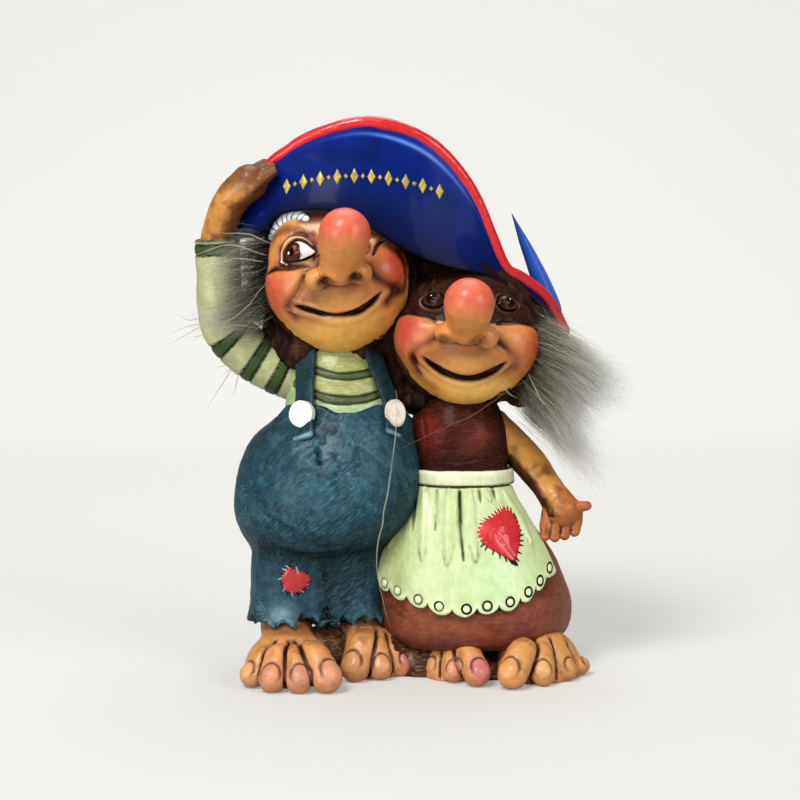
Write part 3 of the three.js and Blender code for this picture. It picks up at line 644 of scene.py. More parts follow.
class Spine:
    """The middle line of a tube with round ends, and the frames along it."""

    def __init__(
        self, points: Sequence, radii: Sequence[float], count: int = 160, dome: float = 1.0
    ) -> None:
        """Draws the line.

        Args:
            points: The points that the tube goes through.
            radii: Its radius at each point.
            count: How many frames it has.
            dome: How long the round ends are, in radii.
        """
        body = curve(points, count)
        thick = np.interp(np.linspace(0, 1, count), np.linspace(0, 1, len(radii)), radii)
        tangent = unit(np.gradient(body, axis=0))
        side = np.empty_like(body)
        first = np.cross(tangent[0], (0.0, 0.0, 1.0))
        side[0] = unit(first if np.linalg.norm(first) > 0.05 else np.cross(tangent[0], (0.0, 1.0, 0.0)))
        for i in range(1, count):
            side[i] = unit(side[i - 1] - (side[i - 1] @ tangent[i]) * tangent[i])
        turns = np.linspace(0, math.pi / 2, 14)[1:]
        ends = []
        for i, sign in ((0, -1), (count - 1, 1)):
            places = body[i] + sign * dome * thick[i] * np.sin(turns)[:, None] * tangent[i]
            ends.append(
                (
                    places, np.tile(side[i], (len(turns), 1)), np.tile(tangent[i], (len(turns), 1)),
                    thick[i] * np.cos(turns)
                )
            )
        (a, sa, ta, ra), (b, sb, tb, rb) = ends
        self.middle = np.vstack([a[::-1], body, b])
        self.side = np.vstack([sa[::-1], side, sb])
        self.tangent = np.vstack([ta[::-1], tangent, tb])
        self.thick = np.concatenate([ra[::-1], thick, rb])
        lengths = np.linalg.norm(np.diff(self.middle, axis=0), axis=1) + np.abs(np.diff(self.thick))
        self.share = np.concatenate([[0], np.cumsum(lengths)]) / lengths.sum()

    def frames(self, v: Points) -> tuple[Points, Points, Points, Points]:
        """Middle, side direction, up direction and radius at shares along the tube."""
        take = lambda rows: np.stack([np.interp(v, self.share, rows[:, i]) for i in range(3)], axis=1)
        side, tangent = unit(take(self.side)), unit(take(self.tangent))
        return take(self.middle), side, np.cross(tangent, side), np.interp(v, self.share, self.thick)

    def place(self, u: Points, v: Points, wide: float = 1.0, high: float = 1.0) -> Points:
        """Points round the tube."""
        middle, side, up, radius = self.frames(v)
        turn = TAU * u
        return middle + (wide * radius * np.cos(turn))[:, None] * side + (
            high * radius * np.sin(turn)
        )[:, None] * up


# Finishes


def cleared(owner: bpy.types.ID) -> bpy.types.NodeTree:
    """The emptied node tree of a material or a world."""
    owner.use_nodes = True
    owner.node_tree.nodes.clear()
    return owner.node_tree


def node(
    tree: bpy.types.NodeTree, kind: str, links: Optional[dict] = None, **values: object
) -> bpy.types.Node:
    """Adds a shader node.

    Args:
        tree: The material's node tree.
        kind: The node's type, without ShaderNode in front.
        links: What goes into its sockets, by name or number: an output, or a node for its first one.
        values: Settings of the node, or of a socket where the name starts with an underscore.

    Returns:
        The node.
    """
    made = tree.nodes.new("ShaderNode" + kind)
    for name, value in values.items():
        if name.startswith("_"):
            made.inputs[name[1:].replace("_", " ")].default_value = value
        else:
            setattr(made, name, value)
    for name, source in (links or {}).items():
        tree.links.new(getattr(source, "outputs", [source])[0], made.inputs[name])
    return made


@dataclass(frozen=True)
class ResinPaint:
    """Acrylic paint on cast polyester resin, under lacquer: soft brush marks and a gloss that pools."""

    name: str
    slot: str
    brush: str = "#FFFFFF"
    slant: float = 0.0
    stroke: float = 3.0
    bristle: float = 0.35
    mottle: float = 0.16
    mottle_size: float = 2.2
    grit: float = 0.45
    grit_depth: float = 0.03
    roughness: float = 0.42
    specular: float = 0.3
    lacquer: float = 0.3
    lacquer_roughness: float = 0.16

    def make(self) -> bpy.types.Material:
        """Builds the material, whose paint and whose dry-brush wear and painted sheen come from the mesh."""
        material = bpy.data.materials.new(self.name)
        tree = cleared(material)
        place = node(tree, "TexCoord").outputs["Object"]
        paint = node(tree, "Attribute", attribute_name="paint").outputs["Color"]
        wear = node(tree, "Attribute", attribute_name="wear").outputs["Fac"]
        turned = node(
            tree, "Mapping", {"Vector": place}, vector_type="TEXTURE",
            _Rotation=(0, math.radians(self.slant), 0),
            _Scale=(self.stroke * MM, 2 * self.bristle * MM, self.bristle * MM)
        )
        bristles = node(tree, "TexNoise", {"Vector": turned}, _Scale=1.0, _Detail=3.0, _Roughness=0.6)
        marks = node(tree, "MapRange", {"Value": bristles}, _From_Min=0.48, _From_Max=0.66)
        cover = node(tree, "Math", {0: marks, 1: wear}, operation="MULTIPLY")
        brushed = node(tree, "Mix", {"Factor": cover, 6: paint}, data_type="RGBA")
        brushed.inputs[7].default_value = colour(self.brush)
        cloud = node(
            tree, "TexNoise", {"Vector": place}, _Scale=1 / (self.mottle_size * MM), _Detail=4.0,
            _Roughness=0.6
        )
        shade = node(
            tree, "MapRange", {"Value": cloud}, _From_Min=0.25, _From_Max=0.75, _To_Min=1 - self.mottle,
            _To_Max=1 + self.mottle
        )
        final = node(tree, "VectorMath", {0: brushed.outputs[2], 1: shade}, operation="MULTIPLY")
        grit = node(
            tree, "TexNoise", {"Vector": place}, _Scale=1 / (self.grit * MM), _Detail=3.0, _Roughness=0.6
        )
        relief = node(tree, "Math", {0: grit, 1: cover}, operation="ADD")
        bump = node(tree, "Bump", {"Height": relief}, _Strength=1.0, _Distance=self.grit_depth * MM)
        gloss = node(
            tree, "MapRange", {"Value": cloud}, _From_Min=0.3, _From_Max=0.7, _To_Min=self.roughness - 0.07,
            _To_Max=self.roughness + 0.1
        )
        tone = node(tree, "RGBToBW", {"Color": paint}).outputs["Val"]
        sheen = [
            node(
                tree, "MapRange", {"Value": tone}, _From_Min=0.0, _From_Max=0.1, _To_Min=0.15 * full,
                _To_Max=full
            ).outputs["Result"]
            for full in (self.specular, self.lacquer)
        ]
        shader = node(
            tree, "BsdfPrincipled",
            {
                "Base Color": final, "Roughness": gloss, "Normal": bump, "Specular IOR Level": sheen[0],
                "Coat Weight": sheen[1]
            },
            _IOR=1.5, _Coat_Roughness=self.lacquer_roughness, _Coat_IOR=1.5
        )
        node(tree, "OutputMaterial", {"Surface": shader})
        return material


@dataclass(frozen=True)
class SyntheticFur:
    """Acrylic fur glued on as tufts: fine soft fibres that let some light through."""

    name: str
    slot: str
    roughness: float = 0.6
    clearness: float = 0.62

    def make(self) -> bpy.types.Material:
        """Builds the material, whose colour comes from each fibre."""
        material = bpy.data.materials.new(self.name)
        tree = cleared(material)
        paint = node(tree, "Attribute", attribute_name="paint").outputs["Color"]
        place = node(tree, "TexCoord").outputs["Object"]
        tone = node(tree, "TexNoise", {"Vector": place}, _Scale=1 / (1.5 * MM), _Detail=2.0)
        shade = node(tree, "MapRange", {"Value": tone}, _To_Min=0.85, _To_Max=1.12)
        final = node(tree, "VectorMath", {0: paint, 1: shade}, operation="MULTIPLY")
        shader = node(
            tree, "BsdfPrincipled", {"Base Color": final}, _Roughness=self.roughness, _IOR=1.5,
            _Specular_IOR_Level=0.35
        )
        through = node(tree, "BsdfTranslucent", {"Color": final})
        both = node(tree, "MixShader", {1: shader, 2: through}, _Fac=0.5)
        clear = node(tree, "BsdfTransparent")
        thin = node(tree, "MixShader", {1: both, 2: clear}, _Fac=self.clearness)
        node(tree, "OutputMaterial", {"Surface": thin})
        return material


class Finish(Enum):
    """The finishes, each made once when it is first used."""

    SKIN = ResinPaint(
        "acrylic_skin_paint_on_cast_resin", "troll_skin", brush="#E8B070", mottle=0.16, roughness=0.42,
        lacquer=0.22
    )
    DENIM = ResinPaint(
        "dry_brushed_acrylic_on_cast_resin", "denim_paint", brush="#4A7784", slant=-38, stroke=2.6,
        bristle=0.3, mottle=0.4, grit_depth=0.06, specular=0.2, lacquer=0.16
    )
    SHIRT = ResinPaint(
        "striped_acrylic_on_cast_resin", "shirt_paint", brush="#D3D6A8", mottle=0.2, grit_depth=0.05,
        lacquer=0.25
    )
    LEATHER = ResinPaint(
        "brown_acrylic_under_satin_lacquer", "dress_paint", brush="#9A5A3E", slant=-8, stroke=6.0,
        bristle=0.5, mottle=0.3, roughness=0.5, specular=0.25, lacquer=0.15
    )
    APRON = ResinPaint(
        "pale_acrylic_on_cast_resin", "apron_paint", brush="#E4EFC4", slant=80, stroke=5.0, bristle=0.6,
        mottle=0.1, lacquer=0.25
    )
    ENAMEL = ResinPaint(
        "glossy_enamel_on_cast_resin", "red_paint", brush="#F06A68", mottle=0.1, roughness=0.35, lacquer=0.5,
        lacquer_roughness=0.1
    )
    HAT = ResinPaint(
        "blue_enamel_on_cast_resin", "hat_blue", brush="#2C4FB0", mottle=0.12, mottle_size=5,
        grit_depth=0.012, roughness=0.4, specular=0.1, lacquer=0.14, lacquer_roughness=0.1
    )
    PALE = ResinPaint("white_acrylic_on_cast_resin", "pale_paint", mottle=0.05, roughness=0.4)
    GOLD = ResinPaint(
        "gold_acrylic_on_cast_resin", "hat_blue", brush="#D8C060", mottle=0.3, grit_depth=0.04,
        roughness=0.35
    )
    HAIR = ResinPaint(
        "dark_acrylic_hair_on_cast_resin", "hair_paint", brush="#6A3A24", mottle=0.3, grit_depth=0.06,
        roughness=0.6, lacquer=0.1
    )
    EYES = ResinPaint(
        "painted_eyes_under_clear_gloss", "eye_paint", mottle=0.03, grit_depth=0.0, roughness=0.2,
        lacquer=1.0, lacquer_roughness=0.03
    )
    GROUND = ResinPaint(
        "earth_coloured_acrylic_on_cast_resin", "ground_paint", brush="#A07848", mottle=0.35,
        grit_depth=0.12, roughness=0.5
    )
    FUR = SyntheticFur("acrylic_fibre_fur", "fur")

    def material(self) -> bpy.types.Material:
        """The finish as a Blender material."""
        return bpy.data.materials.get(self.value.name) or self.value.make()


@dataclass
class Assembly:
    """What all parts share: a finished piece stands for its CAD nodes and rides on the one body."""

    body: str = field(default="root", kw_only=True)

    def present(self, clay: Clay, nodes: Sequence[str], finish: Finish) -> None:
        """Finishes a piece.

        Args:
            clay: The modelled and painted piece.
            nodes: The CAD nodes that it stands for.
            finish: What it is painted with, which also knows a material slot name.
        """
        piece, slot = clay.store(), finish.value.slot
        piece.data.materials.clear()
        piece.data.materials.append(finish.material())
        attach(piece, self.body)
        if nodes:
            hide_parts(*nodes)
        log.info("%s: %d faces, in %s", piece.name, len(piece.data.polygons), finish.value.name)


# Heads


def way_at(yaw: Points, pitch: Points) -> Points:
    """Directions from a head's middle, for yaw to the viewer's right and pitch upwards, in degrees."""
    turn, rise = np.radians(yaw), np.radians(pitch)
    return np.stack(
        [np.sin(turn) * np.cos(rise), -np.cos(turn) * np.cos(rise), np.sin(rise) + 0 * turn], axis=-1
    )


@dataclass
class Skull:
    """A head's ball with its swellings, as yaw, pitch, reach and share."""

    centre: Trio
    half: Trio
    tilt: float
    swells: Sequence[tuple[float, float, float, float]]
    grow: float = 0.0

    def share(self, way: Points) -> Points:
        """How much the skull swells in each direction."""
        total = np.ones(len(way))
        for yaw, pitch, reach, much in self.swells:
            apart = np.arccos(np.clip(way @ way_at(yaw, pitch), -1, 1)) / reach
            total += much * np.exp(-(apart**2))
        return total

    def place(self, own: Points) -> Points:
        """From the head's own frame to its place."""
        c, s = math.cos(math.radians(self.tilt)), math.sin(math.radians(self.tilt))
        own = np.atleast_2d(own)
        return columns(
            own[:, 0] * c - own[:, 2] * s, own[:, 1], own[:, 0] * s + own[:, 2] * c
        ) + np.array(self.centre)

    def own(self, at: Points) -> Points:
        """From its place back to the head's own frame."""
        c, s = math.cos(math.radians(self.tilt)), math.sin(math.radians(self.tilt))
        q = at - np.array(self.centre)
        return columns(q[:, 0] * c + q[:, 2] * s, q[:, 1], -q[:, 0] * s + q[:, 2] * c)

    def on(self, yaw: Points, pitch: Points, out: float = 0.0) -> Points:
        """Points on the skin, or lifted off it."""
        way = way_at(np.atleast_1d(np.asarray(yaw, float)), np.atleast_1d(np.asarray(pitch, float)))
        size = np.array(self.half)[None, :] * self.share(way)[:, None] + self.grow + out
        return self.place(way * size)

    def line(self, marks: Marks, out: float = 0.0, count: int = 30) -> Points:
        """A smooth line on the skin through (yaw, pitch) marks."""
        smooth = curve(marks, count)
        return self.on(smooth[:, 0], smooth[:, 1], out)

    def angles(self, at: Points) -> tuple[Points, Points]:
        """Yaw and pitch of points, in degrees."""
        way = unit(self.own(at) / np.array(self.half))
        return np.degrees(np.arctan2(way[:, 0], -way[:, 1])), np.degrees(np.arcsin(way[:, 2]))

    def gap(self, at: Points) -> Points:
        """Distance to the skin, negative inside."""
        q = self.own(at) / (np.array(self.half) + self.grow)
        size = np.linalg.norm(q, axis=1)
        return (size / self.share(unit(q)) - 1) * min(self.half)

    def seeds(self) -> Seeds:
        """The ball that it starts from."""
        return [(np.array(self.centre), np.array(self.half) * 1.03, 0.0, -self.tilt)]


@dataclass
class Nose:
    """A big nose as shares of the head's half width, on a root at yaw and pitch."""

    yaw: float
    pitch: float
    length: float
    lift: float
    aside: float
    bulb: float
    wing: float
    spread: float
    sag: float = 0.08
    tip: float = 0.29
    root_depth: float = 3.0

    def at(self, skull: Skull, x: float, y: float, z: float) -> Points:
        """A point of the nose, as shares from its root."""
        way = way_at(self.yaw, self.pitch)
        size = np.array(skull.half) * skull.share(way[None, :])[0] - self.root_depth
        return skull.place(way * size + np.array([x, y, z]) * skull.half[0])[0]

    def form(self, skull: Skull) -> Form:
        """The ridge with its bulb, the broad trunk under it, and the two wings."""
        size = skull.half[0]
        bulb = self.at(skull, self.aside, -self.length, self.lift)
        trunk = self.at(skull, self.aside * 0.15, -self.length * 0.62, self.sag)
        half = tuple(self.wing * size * share for share in (0.85, 1.1, 0.9))
        middles = [
            self.at(skull, side * self.spread * 0.9, -self.length * 0.45, self.sag - 0.13)
            for side in (-1, 1)
        ]
        wings = [Ball(tuple(middle), half) for middle in middles]
        limbs = [
            Limb([self.at(skull, 0, 0, self.sag), trunk], [0.28 * size, self.tip * size]),
            Limb([trunk, trunk * 0.5 + bulb * 0.5, bulb], [self.tip * size, 0.31 * size, self.bulb * size]),
            Limb([self.at(skull, 0, 0, self.lift * 0.5), bulb], [0.26 * size, 0.3 * size])
        ]
        return Form("nose", [Form("trunk", limbs, 1.8), *wings], 1.9)


@dataclass(frozen=True)
class Fold:
    """A groove or a ridge on the skin through (yaw, pitch) marks, and the paint that lies along it: mostly
    painted shade, darker or redder in the creases, and a painted highlight along a few ridges.
    """

    marks: Marks
    width: float
    height: float = 0.0
    code: str = ""
    brush: float = 1.0
    much: float = 0.8


@dataclass
class Troll(Assembly):
    """What the two heads share: the skull, the nose, the eyes, the smile and the modelled hair."""

    name: str = ""
    skull: Skull = None
    nose: Nose = None
    bumps: Sequence[tuple[float, float, float, float]] = ()
    folds: Sequence[Fold] = ()
    mouth: Marks = ()
    nostrils: Marks = ()
    hair: Sequence[tuple[Trio, Trio]] = ()
    upper_lid: Marks = ()
    lower_lid: Marks = ()
    mirror: tuple[float, float] = (0.0, 0.0)
    squint: float = 1.0
    rim: tuple[str, float] = ("#F0CDAE", 0.45)
    grain: float = 0.33
    lips: float = 0.8
    setback: float = 3.2

    def build(self) -> None:
        """Models the face with its nose, the eyes and the hair."""
        self.face()
        for side in (-1, 1):
            self.eye(side)
        self.modelled_hair()

    def almond(self, side: int, wide: float = 1.0, high: float = 1.0) -> Points:
        """The outline of an eye as (yaw, pitch), from the outer corner over the upper lid and back."""
        line = np.vstack([curve(self.upper_lid, 40), curve(self.lower_lid, 33)[1:]])
        middle = line[:-1].mean(axis=0)
        line = middle + (line - middle) * (wide, high)
        if side > 0:
            line = (middle + (line - middle) * self.squint) * (-1, 1) + self.mirror
        return line

    def face(self) -> None:
        """The face and the nose in one casting."""
        s = self.skull
        bumps = [
            Ball(tuple(s.on(yaw, pitch, out - size)[0]), (size,) * 3) for yaw, pitch, size, out in self.bumps
        ]
        bare = Form("skin", [s, *bumps], 2.2)
        snout = self.nose.form(s)
        clay = Form(f"{self.name}_face", [bare, snout], 0.8).cast(self.grain)
        for side in (-1, 1):
            clay.dab(s.on(*self.almond(side).mean(axis=0))[0], 4.8, -0.9)
            for scale, width, height in ((1.2, 0.6, 0.8), (1.0, 0.45, -0.5), (1.42, 0.6, -0.4)):
                line = self.almond(side, scale, scale * 1.06)
                clay.score(s.on(line[:, 0], line[:, 1]), width, height, taper=False)
        for fold in self.folds:
            if fold.height:
                clay.score(s.line(fold.marks), fold.width, fold.height)
        lip = np.array(self.mouth)
        clay.score(s.line(lip - (0, 5.2)), 1.6, 0.55)
        clay.score(s.line(lip + (0, 3.8)), 0.9, 0.45)
        clay.score(s.line(lip), self.lips, -1.8)
        holes = []
        for x, z in self.nostrils:
            below = (np.abs(clay.x - x) < 0.8) & (np.abs(clay.z - z) < 0.8) & (clay.y < s.centre[1])
            centre = np.array([x, clay.at[below][:, 1].min() if below.any() else -24.0, z])
            holes.append(centre)
            clay.dab(centre, 1.6, -1.9)
        clay.lift(0.04 * lumps(clay.at, 2.5, 7))
        self.paint(clay, bare.gap(clay.at), snout.gap(clay.at), holes)
        self.present(clay, [f"{self.name}_head", f"{self.name}_nose"], Finish.SKIN)

    def paint(self, clay: Clay, bare: Points, snout: Points, holes: Sequence[Points]) -> None:
        """Paints the skin, from the base coat to the ink lines.

        Args:
            clay: The face with its nose.
            bare: How far each point is from the face without its nose.
            snout: How far each point is from the nose.
            holes: The nostrils' middles.
        """
        s = self.skull
        yaw, pitch = s.angles(clay.at)
        on_nose = ease((0.7 - snout) / 0.7)
        clay.coat("#D09048")
        clay.paint(0.8 * ease((-pitch - 20) / 20) * (1 - on_nose), "#E4A84C")
        clay.paint(0.4 * clay.clouds(5, 9), "#9A6028")
        self.shade(clay, yaw, pitch, on_nose)
        # a dark wash in the creases that is also painted shade there, once narrow and once spread wide over
        # broad hollows
        clay.wash_and_shade("#30130A", 9.0, 3)
        clay.wash_and_shade("#6A381A", 5.0, 14)
        bulb = self.nose.at(s, self.nose.aside, -self.nose.length, self.nose.lift)
        apart = clay.apart(bulb)
        rise = clay.z - bulb[2]
        clay.paint(0.9 * on_nose * ease((rise + 15) / 8) * ease((18 - apart) / 5), "#CA7F3E")
        clay.paint(0.95 * on_nose * ease((rise + 5) / 7), "#C85A40")
        clay.paint(0.85 * on_nose * ease((rise - 1.5) / 5), "#E06350")
        # painted shade in the lower crease where the nose meets the face
        shaded_crease = fade(snout, 0.55) * fade(bare, 0.7)
        clay.paint(0.8 * shaded_crease * ease((3 - clay.z + bulb[2]) / 5), "#3E1A0C")
        # painted shade along the folds and creases, and painted highlights along the few light ridges
        for fold in self.folds:
            if fold.code:
                weight = clay.near(s.line(fold.marks), fold.brush, fold.brush < 1)
                clay.paint(np.clip(fold.much * weight, 0, 1) * (1 - on_nose), fold.code)
        for centre in holes:
            clay.paint(
                1.5 * fade(np.linalg.norm((clay.at - centre) * (0.6, 0.5, 1), axis=1), 1.15), "#3C190A"
            )
        for side in (-1, 1):
            lid, edge, socket_shade = self.almond(side, 1.19, 1.26), self.almond(side), self.almond(side, 1.45, 1.55)
            # painted shade in the hollow round each eye
            clay.paint(
                0.75 * clay.near(s.on(socket_shade[:, 0], socket_shade[:, 1]), 0.45, False) * (1 - on_nose), "#3E180A"
            )
            clay.paint(
                1.3 * clay.near(s.on(lid[:, 0], lid[:, 1], 0.4), self.rim[1], False) * (1 - on_nose),
                self.rim[0]
            )
            clay.paint(
                2.0 * clay.near(s.on(edge[:, 0], edge[:, 1], -0.4), 0.42, False) * (1 - on_nose), "#140503"
            )
        lip = np.array(self.mouth)
        # painted highlights on the raised lip ridges above and below the mouth
        clay.paint(0.5 * clay.near(s.line(lip + (0, 4.4)), 0.6), "#DDAE68")
        clay.paint(0.5 * clay.near(s.line(lip - (0, 4.8)), 1.0), "#D7A65C")
        clay.paint(2.8 * clay.near(s.line(lip, -0.8), self.lips * 1.3), "#190603")
        clay.wear = 0.2 * np.clip(-clay.hollows(3) * 8, 0, 1) * (bare < 1)

    def shade(self, clay: Clay, yaw: Points, pitch: Points, on_nose: Points) -> None:
        """The coloured zones of this face, painted shade among them."""

    def eye(self, side: int) -> None:
        """A painted eye: a lens that fills its almond."""
        outline = self.almond(side)
        middle = outline[:-1].mean(axis=0)

        def place(u: Points, v: Points) -> Points:
            """Rings from the middle of the front over the rim to the middle of the back."""
            out = np.where(v < 0.7, v / 0.7, (1 - v) / 0.3)
            yaw, pitch = (middle + out[:, None] * (at_share(outline, u) - middle)).T
            height = np.where(v < 0.7, 1.3 * (1 - out**2) - 0.25, -0.25 - 6 * (1 - out))
            way = way_at(yaw, pitch)
            size = np.array(self.skull.half) * self.skull.share(way)[:, None] + height[:, None]
            return self.skull.place(way * size)

        which = "right" if side < 0 else "left"
        clay = skin(f"{self.name}_{which}_eye_painted", 96, 90, place)
        yaw, pitch = self.skull.angles(clay.at)
        self.look(clay, side, yaw, pitch, middle)
        clay.paint(ease((clay.value("v") - 0.62) / 0.05), "#140403")
        self.present(clay, [f"{self.name}_{which}_eye"], Finish.EYES)

    def look(self, clay: Clay, side: int, yaw: Points, pitch: Points, middle: Points) -> None:
        """The iris, the pupil and the light in the eye."""

    def modelled_hair(self) -> None:
        """The dark stringy hair that rims the face and fills the gaps beside it."""
        s = self.skull
        behind = Skull((s.centre[0], s.centre[1] + self.setback, s.centre[2]), s.half, s.tilt, s.swells, 1.5)
        balls = [Ball(centre, half) for centre, half in self.hair]
        clay = Form(f"{self.name}_modelled_hair", [behind, *balls], 2.0).cast(0.56)
        yaw, pitch = behind.angles(clay.at)
        flow = columns(np.sin(np.radians(yaw)) * 18, pitch * 0.05, -np.cos(np.radians(yaw)) * 18)
        strings = clay.at * (1, 1, 0.16) + 0.5 * np.sin(clay.at[:, [2, 0, 1]] * 0.45)
        locks = 0.5 * noise(flow, 1.7, 3) + 0.9 * noise(strings, 1.0, 4)
        clay.lift(0.4 * locks + 0.3 * noise(clay.at, 4, 5) + 0.12 * lumps(clay.at, 1.5, 6))
        clay.coat("#23110A")
        clay.paint(np.clip(locks * 0.6 + 0.05, 0, 0.5), "#4C2C1B")
        clay.paint(np.clip(-locks * 0.9 - 0.1, 0, 0.85), "#0E0503")
        clay.wear = np.clip(locks * 0.4, 0, 0.3)
        self.present(clay, [f"{self.name}_hair_cap"], Finish.HAIR)


@dataclass
class TallTroll(Troll):
    """The tall troll's head, which looks aside with one big eye."""

    name: str = "tall"
    skull: Skull = field(
        default_factory=lambda: Skull(
            (-16.7, -3, 107.6), (19.3, 16.8, 21), 8,
            [(-58, -14, 0.5, 0.07), (58, -14, 0.5, 0.07), (-52, 46, 0.55, 0.1), (52, 46, 0.55, 0.1)]
        )
    )
    nose: Nose = field(
        default_factory=lambda: Nose(3, 4, 0.674, 0.508, 0.171, 0.337, 0.17, 0.35, 0.09, 0.235)
    )
    bumps: Sequence = (
        (-53, -4, 8.5, 1.0), (45, -1, 8, 1.6), (-4, -12, 8, 1.2), (-6, -52, 10, 0.9), (-48, 40, 7, 0.5)
    )
    folds: Sequence = (
        Fold([(-58, 34), (-46, 38), (-34, 37), (-22, 34)], 1.5, -0.6, "#5A2A10", 1.8, 0.7),
        Fold([(-16, 34), (-12, 24), (-14, 14), (-22, 8)], 1.4, -0.4, "#6A3214", 1.5, 0.7),
        Fold(
            [(-66, 8.4), (-55, 11.4), (-44.4, 12.6), (-34.4, 12.4), (-24, 12), (-17, 9)], 0.75, -1.0,
            "#2A0E06", 0.8, 1.4
        ),
        Fold([(-50, 14), (-47, 20), (-46, 26)], 1.0, -0.3, "#5A2812", 1.2, 0.6),
        Fold([(31, 11), (34.5, 15.5), (40, 19.5), (47, 21)], 0.6, -0.6, "#1C0804", 0.45, 2.0),
        Fold([(33, 18), (36, 22), (42, 23.5)], 0.8, 0.5, "#C89060", 0.7, 0.8),
        Fold([(57, 12), (61, 2), (61, -6), (57, -14)], 1.1, -0.9, "#3A140C", 1.2, 0.9),
        Fold([(52, 6), (54.5, -2), (53, -9)], 0.7, -0.6, "#5E1E14", 0.6, 1.1),
        Fold([(-25, 5), (-29.6, -2.7), (-36, -9), (-43, -13)], 1.1, -0.9, "#7A4420", 1.3, 0.7),
        Fold([(26, 3), (31, -3), (38, -7), (45, -11), (50, -14)], 1.3, -1.0, "#2E1007", 1.4, 1.3),
        Fold([(47, -10), (45.5, -16), (41, -21)], 1.3, -0.6, "#4A1E0E", 1.6, 0.9),
        Fold([(-41, -11), (-43.5, -16), (-41, -22)], 1.0, -0.6, "#5A2A14", 1.5, 0.8),
        Fold([(-34, -20), (-26, -24), (-20, -26)], 1.4, 0.0, "#6A3A1C", 1.4, 0.6),
        Fold([(-20, -6), (-24, -12), (-32, -15)], 1.2, 0.0, "#7A4220", 2.6, 0.7),
        Fold([(-22, -5), (-10, -9), (4, -9), (16, -4)], 1.2, 0.0, "#8A5026", 1.8, 0.7),
        Fold([(18, -8), (24, -13), (30, -14)], 1.2, 0.0, "#8A4E26", 2.2, 0.5),
        Fold([(-47, -4), (-52, -9), (-53, -16)], 1.0, 0.0, "#B03A26", 1.2, 0.5)
    )
    mouth: Sequence = (
        (-44.5, -11.2), (-35, -15.8), (-25, -20), (-15, -24), (-2.4, -26.6), (12, -26.4), (23.5, -22),
        (32, -15.6), (38, -9), (42, -4)
    )
    nostrils: Sequence = ((-19.2, 106.3), (-11.2, 107.4))
    hair: Sequence = (
        ((-32, 0, 93), (5.5, 6, 9)), ((-27, -2, 87.5), (8, 7.5, 5.5)), ((-12, -1, 86.5), (9, 8, 4)),
        ((-1, 0, 90), (5, 7, 9)), ((3.4, 1, 107), (4, 7, 9)), ((-35.5, 0, 112), (3, 6, 7))
    )
    upper_lid: Sequence = (
        (-41.8, 17.4), (-41.4, 22.3), (-38, 27), (-33, 29.8), (-27.6, 30.2), (-21.9, 28), (-17, 24.4),
        (-12.6, 20.9)
    )
    lower_lid: Sequence = (
        (-12.6, 20.9), (-16, 19), (-20, 17.8), (-25.2, 16.6), (-31.8, 15.9), (-37.5, 15.8), (-41.8, 17.4)
    )
    mirror: tuple = (-9.0, -1.0)
    squint: float = 0.6

    def build(self) -> None:
        """Models the head and its eyebrow."""
        super().build()
        self.eyebrow()

    def shade(self, clay: Clay, yaw: Points, pitch: Points, on_nose: Points) -> None:
        """The hat's painted shadow across the top of the forehead, brown temples and red cheeks."""
        s = self.skull
        off = 1 - on_nose
        # painted shadow of the hat across the top of the forehead
        clay.paint(0.9 * off * ease((pitch - 40) / 6) * ease((yaw + 36) / 8), "#54221A")
        clay.paint(0.8 * off * ease((pitch - 47) / 6), "#3A150D")
        clay.paint(0.5 * off * ease((np.abs(yaw) - 60) / 14), "#6A3A1C")
        clay.paint(0.7 * off * fade(np.hypot(yaw - 55, pitch - 30), 18), "#5A2A16")
        for yaw0, pitch0, code in ((-53, -2, "#BE4A30"), (47, 2, "#B23C26")):
            clay.paint(0.95 * off * fade(clay.apart(s.on(yaw0, pitch0, 1)[0]), 6.2), code)
        clay.paint(0.5 * off * fade(clay.apart(s.on(-50, 3, 1)[0]), 3.2), "#CC6244")

    def look(self, clay: Clay, side: int, yaw: Points, pitch: Points, middle: Points) -> None:
        """A brown eye that looks to the viewer's left."""
        x, z = (yaw + 33.4 if side < 0 else yaw - 26) * 0.335, (pitch - 21.9) * 0.36
        iris = np.hypot(x * 0.9, z)
        clay.coat("#EFE0D8")
        clay.paint(0.5 * ease((-x - 1.5) / 1.5) + 0.25 * ease((z - 1.5) / 1), "#A88478")
        clay.paint(ease((2.7 - iris) / 0.25), "#1C0605")
        clay.paint(0.9 * ease((2.4 - iris) / 0.3), "#4E1A16")
        clay.paint(0.9 * ease((1.0 - np.hypot(x - 0.9, z - 0.8)) / 0.5), "#9A5E54")
        clay.paint(ease((1.3 - np.hypot(x + 0.2, z)) / 0.3), "#120303")
        # a painted highlight in the eye
        clay.paint(ease((0.45 - np.hypot(x + 0.95, z + 0.2)) / 0.14), "#FFFFFF")
        clay.paint(0.8 * ease((0.35 - np.hypot(x - 2.9, (z + 1.0) * 0.7)) / 0.3), "#9A5048")

